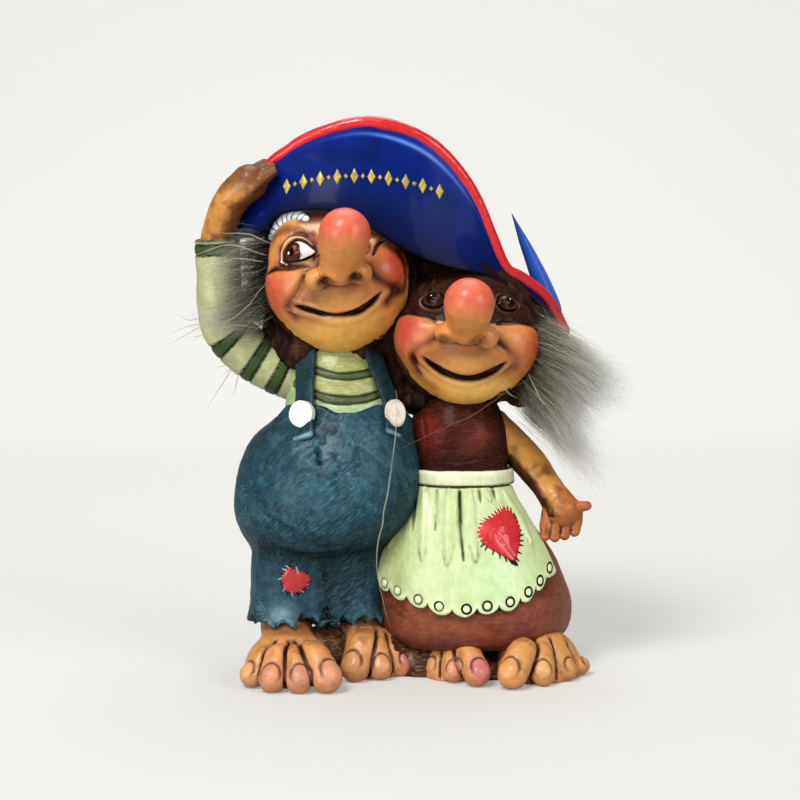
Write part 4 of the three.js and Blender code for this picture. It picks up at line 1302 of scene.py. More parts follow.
    def eyebrow(self) -> None:
        """The white eyebrow with slanting cuts."""
        spine = Spine(
            self.skull.line([(-67, 35), (-57, 44), (-45, 49.5), (-33, 49.4), (-23, 46.5)], 0.3, 12),
            [0.9, 1.7, 1.9, 1.6, 1.4, 0.8], 80
        )
        clay = skin("tall_right_eyebrow_painted", 80, 190, lambda u, v: spine.place(u, v, 0.9, 1.0))
        v = clay.value("v")
        height = (clay.at - spine.frames(v)[0])[:, 2]
        phase = v * 10 - 0.28 * height * ease((v - 0.2) / 0.5) + 0.35 * noise(clay.at, 3, 12)
        cut = np.clip(1 - np.abs((phase % 1) - 0.5) * 9, 0, 1) * (v > 0.14) * (v < 0.9)
        clay.lift(-0.5 * cut)
        clay.coat("#DDE3E8")
        clay.paint(0.5 * ease((0.35 - v) / 0.3), "#A9B6C0")
        clay.paint(0.5 * clay.clouds(2, 13), "#F6F8FA")
        # painted shade on the underside of the brow
        clay.paint(0.6 * ease((-height - 0.4) / 1.2), "#7E8890")
        clay.paint(1.4 * cut, "#26261F")
        self.present(clay, ["tall_right_eyebrow"], Finish.PALE)


@dataclass
class ShortTroll(Troll):
    """The short troll's head, with apple cheeks under a dark brow that is partly painted shade."""

    name: str = "short"
    skull: Skull = field(
        default_factory=lambda: Skull(
            (17.8, -4, 91.8), (19, 16.3, 18.6), -5,
            [(-58, -14, 0.5, 0.07), (58, -14, 0.5, 0.07), (-52, 46, 0.55, 0.02), (52, 46, 0.55, 0.02)]
        )
    )
    nose: Nose = field(
        default_factory=lambda: Nose(-2, 8, 0.684, 0.389, -0.021, 0.337, 0.172, 0.325, 0.07, 0.235)
    )
    bumps: Sequence = ((-50, -3, 8.5, 1.8), (52, -5, 8.5, 1.7), (-1, -16, 8, 0.8), (2, -56, 10, 0.8))
    folds: Sequence = (
        Fold([(-68, 10), (-55, 13.4), (-44, 13.8), (-33, 12.5), (-26, 9)], 1.1, -0.7),
        Fold([(24, 14), (30, 15), (43.3, 14.6), (56, 12.5), (66, 7)], 1.1, -0.7),
        Fold([(-22, 1), (-12, -8), (0, -11), (12, -9), (20, -1)], 1.2, 0.0, "#7A4420", 1.6, 0.7),
        Fold(
            [(-25, -1), (-33, -6), (-40, -10.5), (-45.5, -17), (-47.5, -25), (-46, -32)], 1.1, -1.4,
            "#3A1509", 1.2, 1.1
        ),
        Fold([(-41, -14), (-43, -19), (-42, -25)], 0.7, -0.7, "#240B05", 0.7, 1.4),
        Fold([(22, 1), (29, -3.5), (37, -8.5), (42, -12), (43.5, -18)], 1.1, -1.3, "#4A1E0E", 1.3, 0.9),
        Fold([(40, -12), (40, -17), (37, -22)], 1.2, -0.6, "#6A3418", 1.6, 0.7),
        Fold([(-44.6, 4), (-50.2, -3.5), (-54.5, -12.7), (-54.7, -21.8)], 0.8, -0.6, "#A02C20", 0.9, 0.7),
        Fold([(46, 3), (54, 0), (58.5, -7.2), (58, -14)], 0.8, -0.6, "#A83E28", 0.8, 0.8),
        Fold([(34, 4), (41, 1), (46, -6), (46, -13)], 1.2, 0.4, "#D08A54", 1.0, 0.5),
        Fold([(-21, -12), (-27, -15), (-32, -19)], 1.2, 0.0, "#8A4A26", 2.6, 0.6),
        Fold([(20, -12), (27, -14), (32, -16)], 1.2, 0.0, "#9A5630", 2.4, 0.5),
        Fold([(-60, -16), (-58, -26), (-50, -36), (-38, -46)], 1.2, 0.0, "#7A4620", 2.2, 0.5)
    )
    mouth: Sequence = (
        (-42, -9.5), (-34.5, -19), (-24, -27), (-12.3, -31.7), (0.9, -33.3), (12.6, -31.4), (24, -25.4),
        (32, -17.6), (40.5, -6)
    )
    nostrils: Sequence = ((10.6, 91.3), (20.4, 91.0))
    hair: Sequence = (
        ((7, 2, 109), (7, 7, 6)), ((-1, 1, 84), (4.5, 7, 10)), ((4, 0, 74.5), (6, 7, 4)),
        ((33, 0, 78), (5, 6, 6)), ((37, 0, 92), (3, 6, 9))
    )
    upper_lid: Sequence = (
        (-49.5, 28.5), (-48, 33), (-43.5, 36.6), (-37, 37.6), (-31, 36.4), (-26.5, 33), (-24.5, 28.5)
    )
    lower_lid: Sequence = (
        (-24.5, 28.5), (-28, 25.2), (-33, 23.7), (-39.4, 23.7), (-45.5, 25.5), (-49.5, 28.5)
    )
    mirror: tuple = (1.5, 3.0)
    rim: tuple = ("#E0CDBC", 0.5)
    lips: float = 1.05

    def shade(self, clay: Clay, yaw: Points, pitch: Points, on_nose: Points) -> None:
        """Nearly black above the cheeks, partly dark wash and partly painted shade under the hat, red cheeks
        and a golden chin.
        """
        s = self.skull
        off = 1 - on_nose
        clay.paint(0.75 * off * ease((-pitch - 26) / 15) * ease((yaw + 40) / 30), "#F2BC66")
        clay.paint(0.7 * off * ease((np.abs(yaw) - 62) / 14), "#7A3E20")
        for yaw0, pitch0, code, much in (
            (-51, 1, "#BE4434", 1.0), (56, -2, "#B4401F", 1.0), (42, 2, "#C87A44", 0.5)
        ):
            clay.paint(much * off * fade(clay.apart(s.on(yaw0, pitch0, 1.5)[0]), 6.4), code)
        # above the cheeks the face is painted nearly black: partly dark wash, partly painted shade under the
        # hat, darkest in a band just over the cheeks
        edge = np.interp(
            yaw, [-80, -68, -55, -37, -29, 21, 30, 43, 60, 80],
            [2, 10.6, 13.8, 13.4, 12, 14, 15.4, 15, 12.4, 2]
        )
        dark = off * ease((pitch - edge + 0.9) / 1.8)
        clay.paint(dark, "#2A0F09")
        clay.paint(0.45 * dark * clay.specks(3, 21, 0.8), "#55281A")
        clay.paint(0.6 * dark * fade(np.abs(pitch - edge - 3), 3), "#190705")

    def look(self, clay: Clay, side: int, yaw: Points, pitch: Points, middle: Points) -> None:
        """A dark eye with a light in it."""
        x, z = (yaw - middle[0]) * 0.33, (pitch - middle[1]) * 0.32
        clay.coat("#2C120C")
        clay.paint(0.8 * fade(np.abs(np.hypot(x, z) - 2.1), 0.3), "#54301F")
        clay.paint(ease((1.7 - np.hypot(x, z)) / 0.4), "#120504")
        clay.paint(ease((0.3 - np.hypot(x + 0.1, z - 0.4)) / 0.14), "#E8D8C8")


# Hat


@dataclass
class Hat(Assembly):
    """The shared hat: a turned-up front brim with its binding, the crown and the back brim with its corner."""

    lower: Sequence = (
        (-45, 117.5), (-37, 119.5), (-31, 124.6), (-18, 125.2), (-7.7, 120.4), (2, 114.6), (12, 110.8),
        (24, 108.2), (33, 104), (40, 98.4), (45.4, 90.5)
    )
    upper: Sequence = (
        (-45, 119.5), (-38, 134.2), (-31, 140.6), (-21, 145.9), (-7, 148.4), (7.8, 143.3), (19.2, 130.6),
        (27.6, 111.6), (33, 107.3), (40, 101.8), (45.4, 92.7)
    )
    thickness: float = 2.4

    def front_y(self, x: Points, share: Points) -> Points:
        """How far forward the front brim stands."""
        return -18.4 + 13.5 * ((x + 8) / 42) ** 2 + 4.5 * share

    def build(self) -> None:
        """Models all pieces of the hat."""
        self.front_brim()
        self.binding()
        self.crown()
        self.back_brim()
        self.ornament()

    def front_brim(self) -> None:
        """The bent blade of the brim: its blue is painted lighter towards the top as painted light and nearly
        black towards the bottom as painted shade.
        """
        low, high = curve(self.lower, 200), curve(self.upper, 200)

        def place(u: Points, v: Points) -> Points:
            """A loop up the front and down the back, along the brim."""
            bottom, top = at_share(low, u), at_share(high, u)
            turn = v * TAU
            rise = 0.5 - 0.5 * squared(np.cos(turn), 0.8)
            front = np.sin(turn)
            half = self.thickness / 2 * squared(np.clip(front * 7, -1, 1), 0.5)
            flat = bottom + (top - bottom) * rise[:, None]
            hollow = 0.9 * np.sin(np.pi * rise) ** 2
            middle = self.front_y(flat[:, 0], rise) + self.thickness / 2
            return columns(flat[:, 0], middle + (hollow - half) * closing(u, 60), flat[:, 1])

        clay = skin("hat_front_brim_painted", 220, 150, place)
        u = clay.value("u")
        v = clay.value("v")
        rise = 0.5 - 0.5 * np.cos(TAU * v)
        clay.lift(0.1 * lumps(clay.at, 9, 31) * np.minimum(1, np.minimum(u, 1 - u) * 20))
        clay.coat("#0A1850")
        # painted light: the blue grows lighter towards the top of the brim
        clay.paint(ease((rise - 0.25) / 0.55), "#071E6C")
        clay.paint(0.7 * ease((rise - 0.8) / 0.15), "#0B2A8C")
        # painted shade: nearly black towards the bottom of the brim
        clay.paint(0.9 * ease((0.42 - rise) / 0.4), "#0B1030")
        clay.paint(0.8 * clay.right(16, 14), "#080E30")
        clay.paint(0.6 * clay.specks(7, 32, 0.7), "#07123E")
        # a painted highlight along the top of the brim
        clay.paint(0.8 * fade(rise - 0.87, 0.022) * fade(clay.x - 2, 15), "#6E9AE0")
        # painted shade along the bottom edge on the foreheads and along the top edge under the binding
        clay.paint(0.9 * ease((0.06 - rise) / 0.05), "#06070F")
        clay.paint(0.9 * ease((rise - 0.97) / 0.03), "#0A1030")
        self.present(clay, ["hat_front_brim"], Finish.HAT)

    def binding(self) -> None:
        """The thick red roll on the brim's edge."""
        edge = curve(self.upper, 60)
        y = self.front_y(edge[:, 0], 1.0) + self.thickness / 2 - 0.2
        path = columns(edge[:, 0], y, edge[:, 1])
        grow = np.interp(
            np.linspace(0, 1, 60), [0, 0.1, 0.35, 0.6, 0.75, 1], [1.15, 1.35, 1.7, 1.75, 1.9, 1.95]
        )
        spine = Spine(path, list(grow), 200)
        clay = skin("hat_binding_rolled", 60, 420, spine.place)
        clay.lift(0.14 * lumps(clay.at, 5, 41) + 0.03 * noise(clay.at, 1.2, 42))
        v = clay.value("v")
        clay.coat("#C3161C")
        clay.paint(0.5 * clay.clouds(5, 43), "#E03038")
        clay.paint(0.7 * ease((0.16 - v) / 0.16), "#6E0E18")
        clay.paint(0.5 * ease((v - 0.86) / 0.14), "#8E1A2A")
        clay.wash_and_shade("#4A060C", 5.0, 4)
        # painted shade on the back of the roll, away from the light
        front = spine.frames(v)[0][:, 1] - clay.y
        clay.paint(0.8 * ease((-front - 0.2) / 1.2), "#7E0C12")
        # a painted highlight on the top of the roll
        clay.paint(0.55 * fade(clay.x + 3, 7) * fade(front - 0.6, 0.5) * clay.above(146, 2), "#FF9AA0")
        self.present(clay, ["hat_binding"], Finish.ENAMEL)

    def crown(self) -> None:
        """The low soft crown behind the brim."""
        rows = np.array(
            [
                (-41, 121, 124, 0.55), (-35, 120, 129, 1), (-18, 112, 136.5, 1), (-4, 117, 136, 1),
                (8, 113, 128, 1), (18, 107, 118, 1), (28, 103, 109, 1), (34, 101, 105, 0.55)
            ]
        )
        line = curve(rows, 120)

        def place(u: Points, v: Points) -> Points:
            """Upright rings along X, with closed ends."""
            x, low, high, deep = at_share(line, v).T
            close = closing(v, 30)
            turn = TAU * u
            y = 4.5 + 15.3 * deep * close * np.cos(turn)
            return columns(x, y, (low + high) / 2 + (high - low) / 2 * close * np.sin(turn))

        clay = skin("hat_crown_painted", 170, 150, place)
        clay.lift(0.35 * noise(clay.at, 9, 51) + 0.12 * lumps(clay.at, 3, 52))
        clay.coat("#0D1F66")
        # painted light: lighter blue towards the top of the crown
        clay.paint(0.8 * clay.above(118, 16), "#0C2C8C")
        # painted shade on the front of the crown under the brim, between the heads
        clay.paint(0.95 * ease((4 - clay.y) / 8) * clay.below(126, 6), "#170C10")
        clay.wash_and_shade("#060814", 8.0, 4)
        self.present(clay, ["hat_crown"], Finish.HAT)

    def back_brim(self) -> None:
        """The back brim, whose far corner turns up as a pointed blade."""
        lower = curve(
            [(-41, 118.4), (-30, 119.6), (-10, 118), (8, 112.4), (24, 104.4), (36, 97.4), (46, 90.2)], 200
        )
        upper = curve(
            [(-41, 123.4), (-30, 129), (-10, 130), (8, 122.6), (24, 112.4), (36, 104), (46, 96)], 200
        )

        def behind(x: Points) -> Points:
            """How far back the brim stands."""
            aside = (x - 1) / 50
            return 4.5 + 15.5 * np.sqrt(1 - np.minimum(aside**2, 0.98)) + 0.6

        def place(u: Points, v: Points) -> Points:
            """A loop up the outside and down the inside."""
            bottom, top = at_share(lower, u), at_share(upper, u)
            turn = v * TAU
            rise = 0.5 - 0.5 * squared(np.cos(turn), 0.8)
            half = 1.2 * squared(np.clip(np.sin(turn) * 6, -1, 1), 0.5)
            end = closing(u, 50)
            flat = bottom + (top - bottom) * rise[:, None]
            return columns(flat[:, 0], behind(flat[:, 0]) + 1.2 + half * end, flat[:, 1])

        clay = skin("hat_back_brim_painted", 200, 80, place)
        clay.lift(0.1 * lumps(clay.at, 8, 61))
        clay.coat("#0B2276")
        # painted light: lighter blue towards the top of the back brim
        clay.paint(0.7 * clay.above(112, 16), "#0C2F92")
        clay.wash_and_shade("#060814", 6.0, 4)
        self.present(clay, ["hat_back_brim"], Finish.HAT)
        self.corner()

    def corner(self) -> None:
        """The blade: a thin crescent that leans in towards the crown."""
        middle = curve(
            [(43.6, 11.5, 91), (42.2, 11.8, 99.5), (38.9, 12, 108), (35, 12.3, 116.8), (31.2, 12.5, 125.2)],
            80
        )
        wide = np.interp(
            np.linspace(0, 1, 80), [0, 0.25, 0.5, 0.75, 0.95, 1], [2.2, 3.0, 2.6, 1.6, 0.35, 0.12]
        )
        spine = Spine(middle, list(wide), 80, 0.3)

        def place(u: Points, v: Points) -> Points:
            """A flat ring: wide across X and thin along Y, hollow towards the crown."""
            centre, _, _, radius = spine.frames(v)
            turn = TAU * u
            x = np.cos(turn)
            thin = np.minimum(1.1, 0.3 + 0.35 * radius) * np.sin(turn)
            return centre + columns(x * radius, thin + 1.2 * (x * radius / 3) ** 2, 0 * x)

        clay = skin("hat_back_brim_corner", 64, 140, place)
        u = clay.value("u")
        clay.coat("#2A52AE")
        # a painted highlight along the blade's right edge
        clay.paint(0.6 * fade(np.abs((u + 0.5) % 1 - 0.5), 0.09), "#8FAEDD")
        clay.paint(0.7 * fade(np.abs(u - 0.5), 0.08), "#131F52")
        clay.paint(0.6 * clay.below(103, 10), "#16306F")
        clay.paint(0.5 * clay.above(117, 8), "#1A2A60")
        self.present(clay, [], Finish.HAT)

    def ornament(self) -> None:
        """A plain running pattern of gold lozenges across the front of the brim."""

        def place(u: Points, v: Points) -> Points:
            """A cushion over a square that stands on its corner."""
            across, up = np.cos(TAU * u), np.sin(TAU * u)
            out = np.sin(np.pi * v) / (np.abs(across) + np.abs(up))
            return columns(out * across, np.cos(np.pi * v), out * up)

        model = skin("lozenge", 24, 12, place)
        places = []
        x_all = np.linspace(-30, 10.5, 19)
        for i, (x, z) in enumerate(zip(x_all, 134.4 - 0.0078 * (x_all + 12) ** 2)):
            wide, tall = (1.1, 2.1) if i % 2 == 0 else (0.6, 0.75)
            at = model.at * (wide, 0.34, tall) + (x, 0, z)
            low = np.interp(at[:, 0], *np.array(self.lower).T)
            high = np.interp(at[:, 0], *np.array(self.upper).T)
            share = (at[:, 2] - low) / (high - low)
            at[:, 1] += self.front_y(at[:, 0], share) + 0.9 * np.sin(np.pi * share) ** 2 - 0.1
            places.append(at)
        clay = flock("hat_gold_lozenges", model, np.array(places))
        clay.lift(0.05 * noise(clay.at, 0.6, 71))
        clay.coat("#8A7A2E")
        clay.paint(clay.clouds(0.8, 72, 0.5), "#B8A23C")
        self.present(clay, [], Finish.GOLD)


# Clothes

TALL_TRUNK = (
    (32.5, -22.5, -2, 16, 12), (37.5, -21.8, -3.5, 20, 17.5), (43.5, -20.5, -4.5, 23.2, 19.8),
    (50, -19.8, -4.5, 24, 20), (57, -19, -4, 23.4, 19), (64, -18, -3, 21, 16.8), (70, -15.4, -2, 17, 14.4),
    (77, -15.8, -1, 15, 12.8), (85, -16.5, 0, 13, 11), (92, -16.5, 0, 8, 7.4)
)
DRESS = (
    (7.6, 19.5, -0.5, 22, 17.5), (10.5, 20, -0.8, 25.5, 20.5), (15, 20.3, -1, 27, 22),
    (21, 19.8, -1.2, 27, 21.8), (29.5, 18.5, -1.4, 24.9, 20), (39, 17.6, -1.6, 19.8, 16.4),
    (48, 17.3, -1.8, 14, 12.4), (54, 17, -2, 12.6, 11.2), (61, 16.6, -2, 13.2, 11.6),
    (68, 16, -1.6, 13, 11.2), (74, 16, -1, 10, 8.8), (80, 16.4, -1, 6.6, 6.4)
)


@dataclass
class Patch:
    """A cloth patch that is modelled on a surface, with a row of stitches over its rim."""

    outline: Marks
    ground: Callable[[Points, Points, float], Points]
    height: float
    puff: float = 0.6

    def rim(self, grow: float = 1.0) -> Points:
        """The outline's x and z, larger or smaller about its middle."""
        closed = np.vstack([np.array(self.outline, float), self.outline[:1]])
        line = curve(closed, 97)
        middle = line[:-1].mean(axis=0)
        return middle + (line - middle) * grow

    def cloth(self, name: str) -> Clay:
        """The patch: a puffed front, a round rim and a flat back inside the ground."""
        line = self.rim()
        middle = line[:-1].mean(axis=0)

        def place(u: Points, v: Points) -> Points:
            """Rings from the middle of the front over the rim to the middle of the back."""
            out = np.where(v < 0.75, v / 0.75, (1 - v) / 0.25)
            x, z = (middle + out[:, None] * (at_share(line, u) - middle)).T
            front = (self.height + self.puff * (1 - out**2)) * np.minimum(1, (1 - out) * 9) ** 0.5
            at = self.ground(x, z, 0.0)
            at[:, 1] -= np.where(v < 0.75, front, -0.5 * (1 - out)) - 0.1
            return at

        return skin(name, 96, 60, place)

    def stitches(self, name: str, count: int, length: float, width: float, lean: float) -> Clay:
        """Short threads across the rim, all copies of one."""
        line = self.rim()
        middle = line[:-1].mean(axis=0)
        model = rod("thread", 8, 8, lambda v: np.sin(np.pi * v), lambda v: -np.cos(np.pi * v))
        places = []
        for i in range(count):
            place = line[int((i + 0.5) / count * 96)]
            way = unit(place - middle)
            way = unit(
                way + lean * np.array([-way[1], way[0]])
                + 0.25 * np.array([noise(np.array([[*place, i]]), 0.7, 5)[0], 0])
            )
            across = np.array([-way[1], way[0]])
            flat = place + (model.z * length)[:, None] * way + (model.x * width)[:, None] * across
            at = self.ground(flat[:, 0], flat[:, 1], 0.0)
            over = np.clip(-model.z, 0, 1)
            at[:, 1] += model.y * width * 0.8 - 0.15 - over * self.height
            places.append(at)
        return flock(name, model, np.array(places))


@dataclass
class Dungarees(Assembly):
    """Ragged denim dungarees over a striped shirt, with straps, buttons and a knee patch."""

    edge: Sequence = (
        (-38, 69.6), (-33.6, 70.4), (-30.5, 73), (-25.7, 73.8), (-22, 73.8), (-19.6, 73), (-16.7, 71.9),
        (-11.9, 71.9), (-9, 72.8), (-6.7, 73.7), (-2.6, 73.9), (1.3, 72), (4, 69)
    )

    def build(self) -> None:
        """Models all the tall troll's clothes but the sleeves."""
        self.trousers()
        self.shirt()
        self.straps()
        self.buttons()
        self.knee_patch()

    def hem(self, at: Points) -> Points:
        """The height of the ragged hem: torn, with a few deep notches."""
        wave = (at[:, 0] * 0.21 + at[:, 1] * 0.13 + 0.4 * noise(at * (1, 1, 0), 8, 82)) % 1
        z = 14.0 + 5.0 * np.abs(wave - 0.5)
        for x, y, wide, tall in (
            (-37.2, -13, 2.6, 5.0), (-25.6, -17, 2.0, 4.0), (-19.5, -14, 1.6, 3), (-9, -14, 1.6, 3.0),
            (-31, 5, 2.4, 4)
        ):
            z = z + tall * np.clip(1 - np.hypot(at[:, 0] - x, (at[:, 1] - y) * 0.5) / wide, 0, 1)
        return z

    def trousers(self) -> None:
        """The denim, in one casting."""
        legs = [
            Stack(
                [
                    (z, x + shift * side, y, r + swell, r + swell + 0.6)
                    for z, swell, shift in ((12.8, 1.1, 0), (20, 0, 0.2), (30, 0.4, 0.8), (42, 1, 2))
                ]
            )
            for x, y, r, side in ((-31, -6.5, 10.2, 1), (-12, -3, 9.4, -1))
        ]
        marks = np.array(self.edge)

        def top(at: Points) -> Points:
            """Positive below the upper edge."""
            front = ease((-at[:, 1] - 1) / 7)
            return 69.4 + front * (
                np.interp(at[:, 0], marks[:, 0], marks[:, 1]) - 69.4
            ) + 0.2 * noise(at, 3, 83) - at[:, 2]

        form = Form(
            "tall_dungarees_denim",
            [
                Stack(TALL_TRUNK, high=77, grow=1.3), *legs,
                Stack([(12.8, -21.5, -7, 8, 8.6), (20, -21.5, -7, 8, 8.4), (36, -21.5, -6, 8, 9)])
            ],
            2.0, [(top, 0.5), (lambda at: 0.7 * (at[:, 2] - self.hem(at)), 0.5)]
        )
        clay = form.cast(0.5, 7)
        trunk = Stack(TALL_TRUNK, grow=1.3)
        clay.lift(
            0.35 * noise(clay.at, 11, 84) + 0.12 * lumps(clay.at, 3.2, 85) + 0.05 * lumps(clay.at, 0.9, 86)
        )
        centre = clay.spot(-15, 10, 63, 8) * (clay.y < -8)
        flakes = lumps(clay.at, 3.6, 87)
        cracks = fade(flakes, 0.13)
        clay.lift(centre * (0.3 * np.clip(flakes * 6, 0, 1) + 0.3 * cracks))
        for marks_xz, width, height in (
            ([(-21.8, 63.5), (-21.5, 61), (-21, 58.8)], 0.55, -1.3),
            ([(-23, 62.6), (-22.2, 60.4)], 0.5, 0.5),
            ([(-36, 46), (-30, 42), (-22, 37.5), (-15, 36.8)], 1.6, -0.5),
            ([(-13, 37.5), (-7, 39), (-2, 42)], 1.5, -0.5), ([(-19, 34), (-19.4, 26), (-20, 18)], 0.4, -0.5),
            ([(-9, 33), (-11, 29), (-12.4, 26)], 0.4, 0.4), ([(-10.6, 24), (-10, 19), (-9, 15)], 0.5, 0.5),
            ([(-38, 29), (-37, 26.5), (-38.6, 22)], 0.6, 0.4),
            ([(1.5, 50), (3, 51.4), (4.6, 49)], 0.35, 0.4), ([(-30, 66), (-34, 62), (-37, 56)], 1.2, -0.35),
            ([(-36, 18), (-30, 13.6)], 0.8, 0.3)
        ):
            x, z = curve(marks_xz, 24).T
            on_legs = columns(x, np.where(x < -21, -17.0, -13.0), z)
            clay.score(trunk.front(x, np.maximum(z, 36)) if z.min() > 35 else on_legs, width, height)
        # the crease between the legs, pressed in and later darkened as painted shade
        crotch_shade = fade(clay.x + 19.4, 2.2) * clay.below(36, 8) * (clay.y < -6)
        clay.lift(-1.3 * crotch_shade)
        clay.coat("#1B3540")
        clay.paint(0.55 * clay.left(-30, 10) * clay.above(56, 10), "#222F30")
        clay.paint(0.5 * clay.spot(-14, 13, 55, 9), "#2C5864")
        clay.paint(0.6 * clay.right(-5, 8) * clay.below(60, 8), "#14252C")
        clay.paint(0.5 * clay.below(42, 10), "#2B4250")
        clay.paint(0.6 * clay.right(-19, 4) * clay.below(36, 4), "#14232A")
        clay.paint(0.5 * np.clip(streaks(clay.at, -38, 9, 1.3, 88), 0, 1) * clay.above(38, 6), "#33626F")
        clay.paint(0.6 * clay.specks(6, 89), "#17262A")
        clay.paint(0.35 * clay.specks(9, 94, -1.0), "#3A6470")
        clay.wash_and_shade("#0A1218", 7.0, 4)
        # painted shade between the legs
        clay.paint(0.7 * crotch_shade, "#0C1216")
        # painted shadow under the belly where it overhangs the legs
        clay.paint(0.7 * fade(clay.z - 35.5, 3.6) * (clay.y > -20) * (clay.x > -38), "#0B1318")
        flap = clay.spot(-31.5, 3.6, 17.5, 3.4) * (clay.y < -9)
        clay.paint(0.8 * flap, "#7D99A0")
        clay.paint(0.6 * clay.spot(-9, 3, 16, 3) * (clay.y < -8), "#4E7678")
        clay.paint(0.5 * centre * np.clip(flakes * 3, 0, 1), "#3F6672")
        clay.paint(0.5 * centre * np.clip(-flakes * 2.4, 0, 1), "#16252B")
        clay.paint(0.4 * centre * cracks, "#5F828E")
        # painted shade under the hem's edge
        clay.paint(0.4 * ease((self.hem(clay.at) + 0.2 - clay.z) / 0.4), "#22343A")
        clay.paint(0.35 * fade(clay.z - self.hem(clay.at) - 1, 0.7) * clay.specks(3, 93, 2), "#8FB0B8")
        edges = np.clip(-clay.hollows(3) * 8, 0, 1)
        clay.wear = 0.15 + 0.35 * clay.specks(7, 90, more=0.3) + 0.3 * clay.spot(
            -18, 15, 52, 13
        ) + 0.2 * edges
        self.present(clay, ["tall_dungarees"], Finish.DENIM)

    def shirt(self) -> None:
        """The striped shirt, which comes out of the dungarees."""
        trunk = Stack(TALL_TRUNK)
        clay = trunk.wrap("tall_shirt_striped", 170, 110, 67, 89)
        z = clay.z - 0.02 * (clay.x + 14) ** 2 + 0.3 * noise(clay.at, 5, 91)
        clay.coat("#8D9358")
        clay.paint(ease((74 - z) / 0.3), "#93A87C")
        clay.paint(ease((z - 80.6) / 0.3) * ease((82.4 - z) / 0.3), "#4A5530")
        clay.paint(ease((z - 74.2) / 0.3) * ease((76.1 - z) / 0.3), "#46512C")
        for line in (82.35, 80.5, 76.1, 74.1):
            groove = fade(z - line, 0.3)
            clay.lift(-0.35 * groove)
            clay.paint(0.95 * groove, "#171B0F")
        clay.lift(0.12 * lumps(clay.at, 2.5, 92))
        clay.wash_and_shade("#20220F", 5.0, 3)
        clay.wear = 0.3 * ease((clay.rgb[:, 1] - 0.4) / 0.1)
        self.present(clay, ["tall_shirt"], Finish.SHIRT)

    def straps(self) -> None:
        """The two straps, from under the buttons over the shoulders to the back."""
        trunk = Stack(TALL_TRUNK)
        for side, button_x, top_x, back_x, foot in (
            ("right", -25.6, -25.4, -18.5, 65.0), ("left", -1.8, -6.8, -14, 65.6)
        ):
            front = [(button_x, foot), (button_x, 71.6), (button_x * 0.5 + top_x * 0.5, 79), (top_x, 86.2)]
            out = [1.7, 2.0, 0.8, 1.0]
            marks = [trunk.front(x, z, o)[0] for (x, z), o in zip(front, out)]
            marks += [np.array([top_x, 0.0, 89.0])]
            back = [
                trunk.front(x, z, 1.4)[0]
                for x, z in ((top_x, 85), (top_x * 0.6 + back_x * 0.4, 77), (back_x, 69), (back_x, 62.6))
            ]
            for mark in back:
                mark[1] = 2 * float(trunk.at_height(mark[2:])[1, 0]) - mark[1]
            path = curve(marks + back, 120)
            x, y = trunk.at_height(path[:, 2])[:2]
            centre = columns(x, y, np.minimum(path[:, 2], 78))
            outward = unit(path - centre)
            along = unit(np.gradient(path, axis=0))
            outward = unit(outward - (outward * along).sum(axis=1)[:, None] * along)
            across = np.cross(along, outward)

            def place(u: Points, v: Points) -> Points:
                """A flat band with rounded edges."""
                turn = TAU * u
                wide = 3.3 * squared(np.cos(turn), 0.45)
                high = 0.75 * squared(np.sin(turn), 0.6)
                close = closing(v, 40)
                band = (wide * close)[:, None] * at_share(across, v) + (
                    high * close
                )[:, None] * at_share(outward, v)
                return at_share(path, v) + band

            clay = skin(f"tall_{side}_strap_denim", 56, 190, place)
            v = clay.value("v")
            clay.lift(0.12 * lumps(clay.at, 2.2, 95) + 0.3 * fade(v - 0.014, 0.01))
            clay.coat("#1D2F36")
            clay.paint(0.5 * clay.specks(3, 96), "#2C4852")
            clay.paint(0.9 * fade(v - 0.014, 0.009), "#7FA6B6")
            clay.wash_and_shade("#0B1318", 6.0, 3)
            clay.wear[:] = 0.15
            self.present(clay, [f"tall_{side}_strap"], Finish.DENIM)

    def buttons(self) -> None:
        """Two white disc buttons."""
        trunk = Stack(TALL_TRUNK)
        for side, x, size, code in (
            ("right", -25.6, (3.6, 3.6), "#FAF8F6"), ("left", -1.8, (3.0, 3.7), "#E9DFD2")
        ):
            foot = trunk.front(x, 71.6, 2.7)[0]
            cx, cy, a, b = trunk.at_height(np.array([71.6]))[:, 0]
            facing = unit(np.array([(foot[0] - cx) / a**2, (foot[1] - cy) / b**2, 0.012]))
            across = unit(np.cross((0, 0, 1), facing))
            over = np.cross(facing, across)

            def place(u: Points, v: Points) -> Points:
                """A thick disc with a round rim and a flat top."""
                turn, rise = TAU * u, np.pi * v
                r = np.minimum(1, 1.25 * np.sin(rise)) ** 0.9
                high = np.clip(0.5 + 0.75 * np.cos(rise), -0.1, 1.0) * 1.7 + 0.12 * (1 - r)
                return foot + (size[0] * r * np.cos(turn))[:, None] * across + (
                    size[1] * r * np.sin(turn)
                )[:, None] * over + high[:, None] * facing

            clay = skin(f"tall_{side}_button_white", 64, 48, place)
            clay.lift(0.06 * lumps(clay.at, 1.6, 97))
            clay.coat(code)
            out = np.linalg.norm((clay.at - foot) - ((clay.at - foot) @ facing)[:, None] * facing, axis=1)
            clay.paint(0.6 * ease((out - size[0] + 0.5) / 0.5), "#B9AFA2")
            if side == "left":
                clay.paint(0.5 * clay.specks(1.2, 98), "#C8A892")
            self.present(clay, [f"tall_{side}_button"], Finish.PALE)

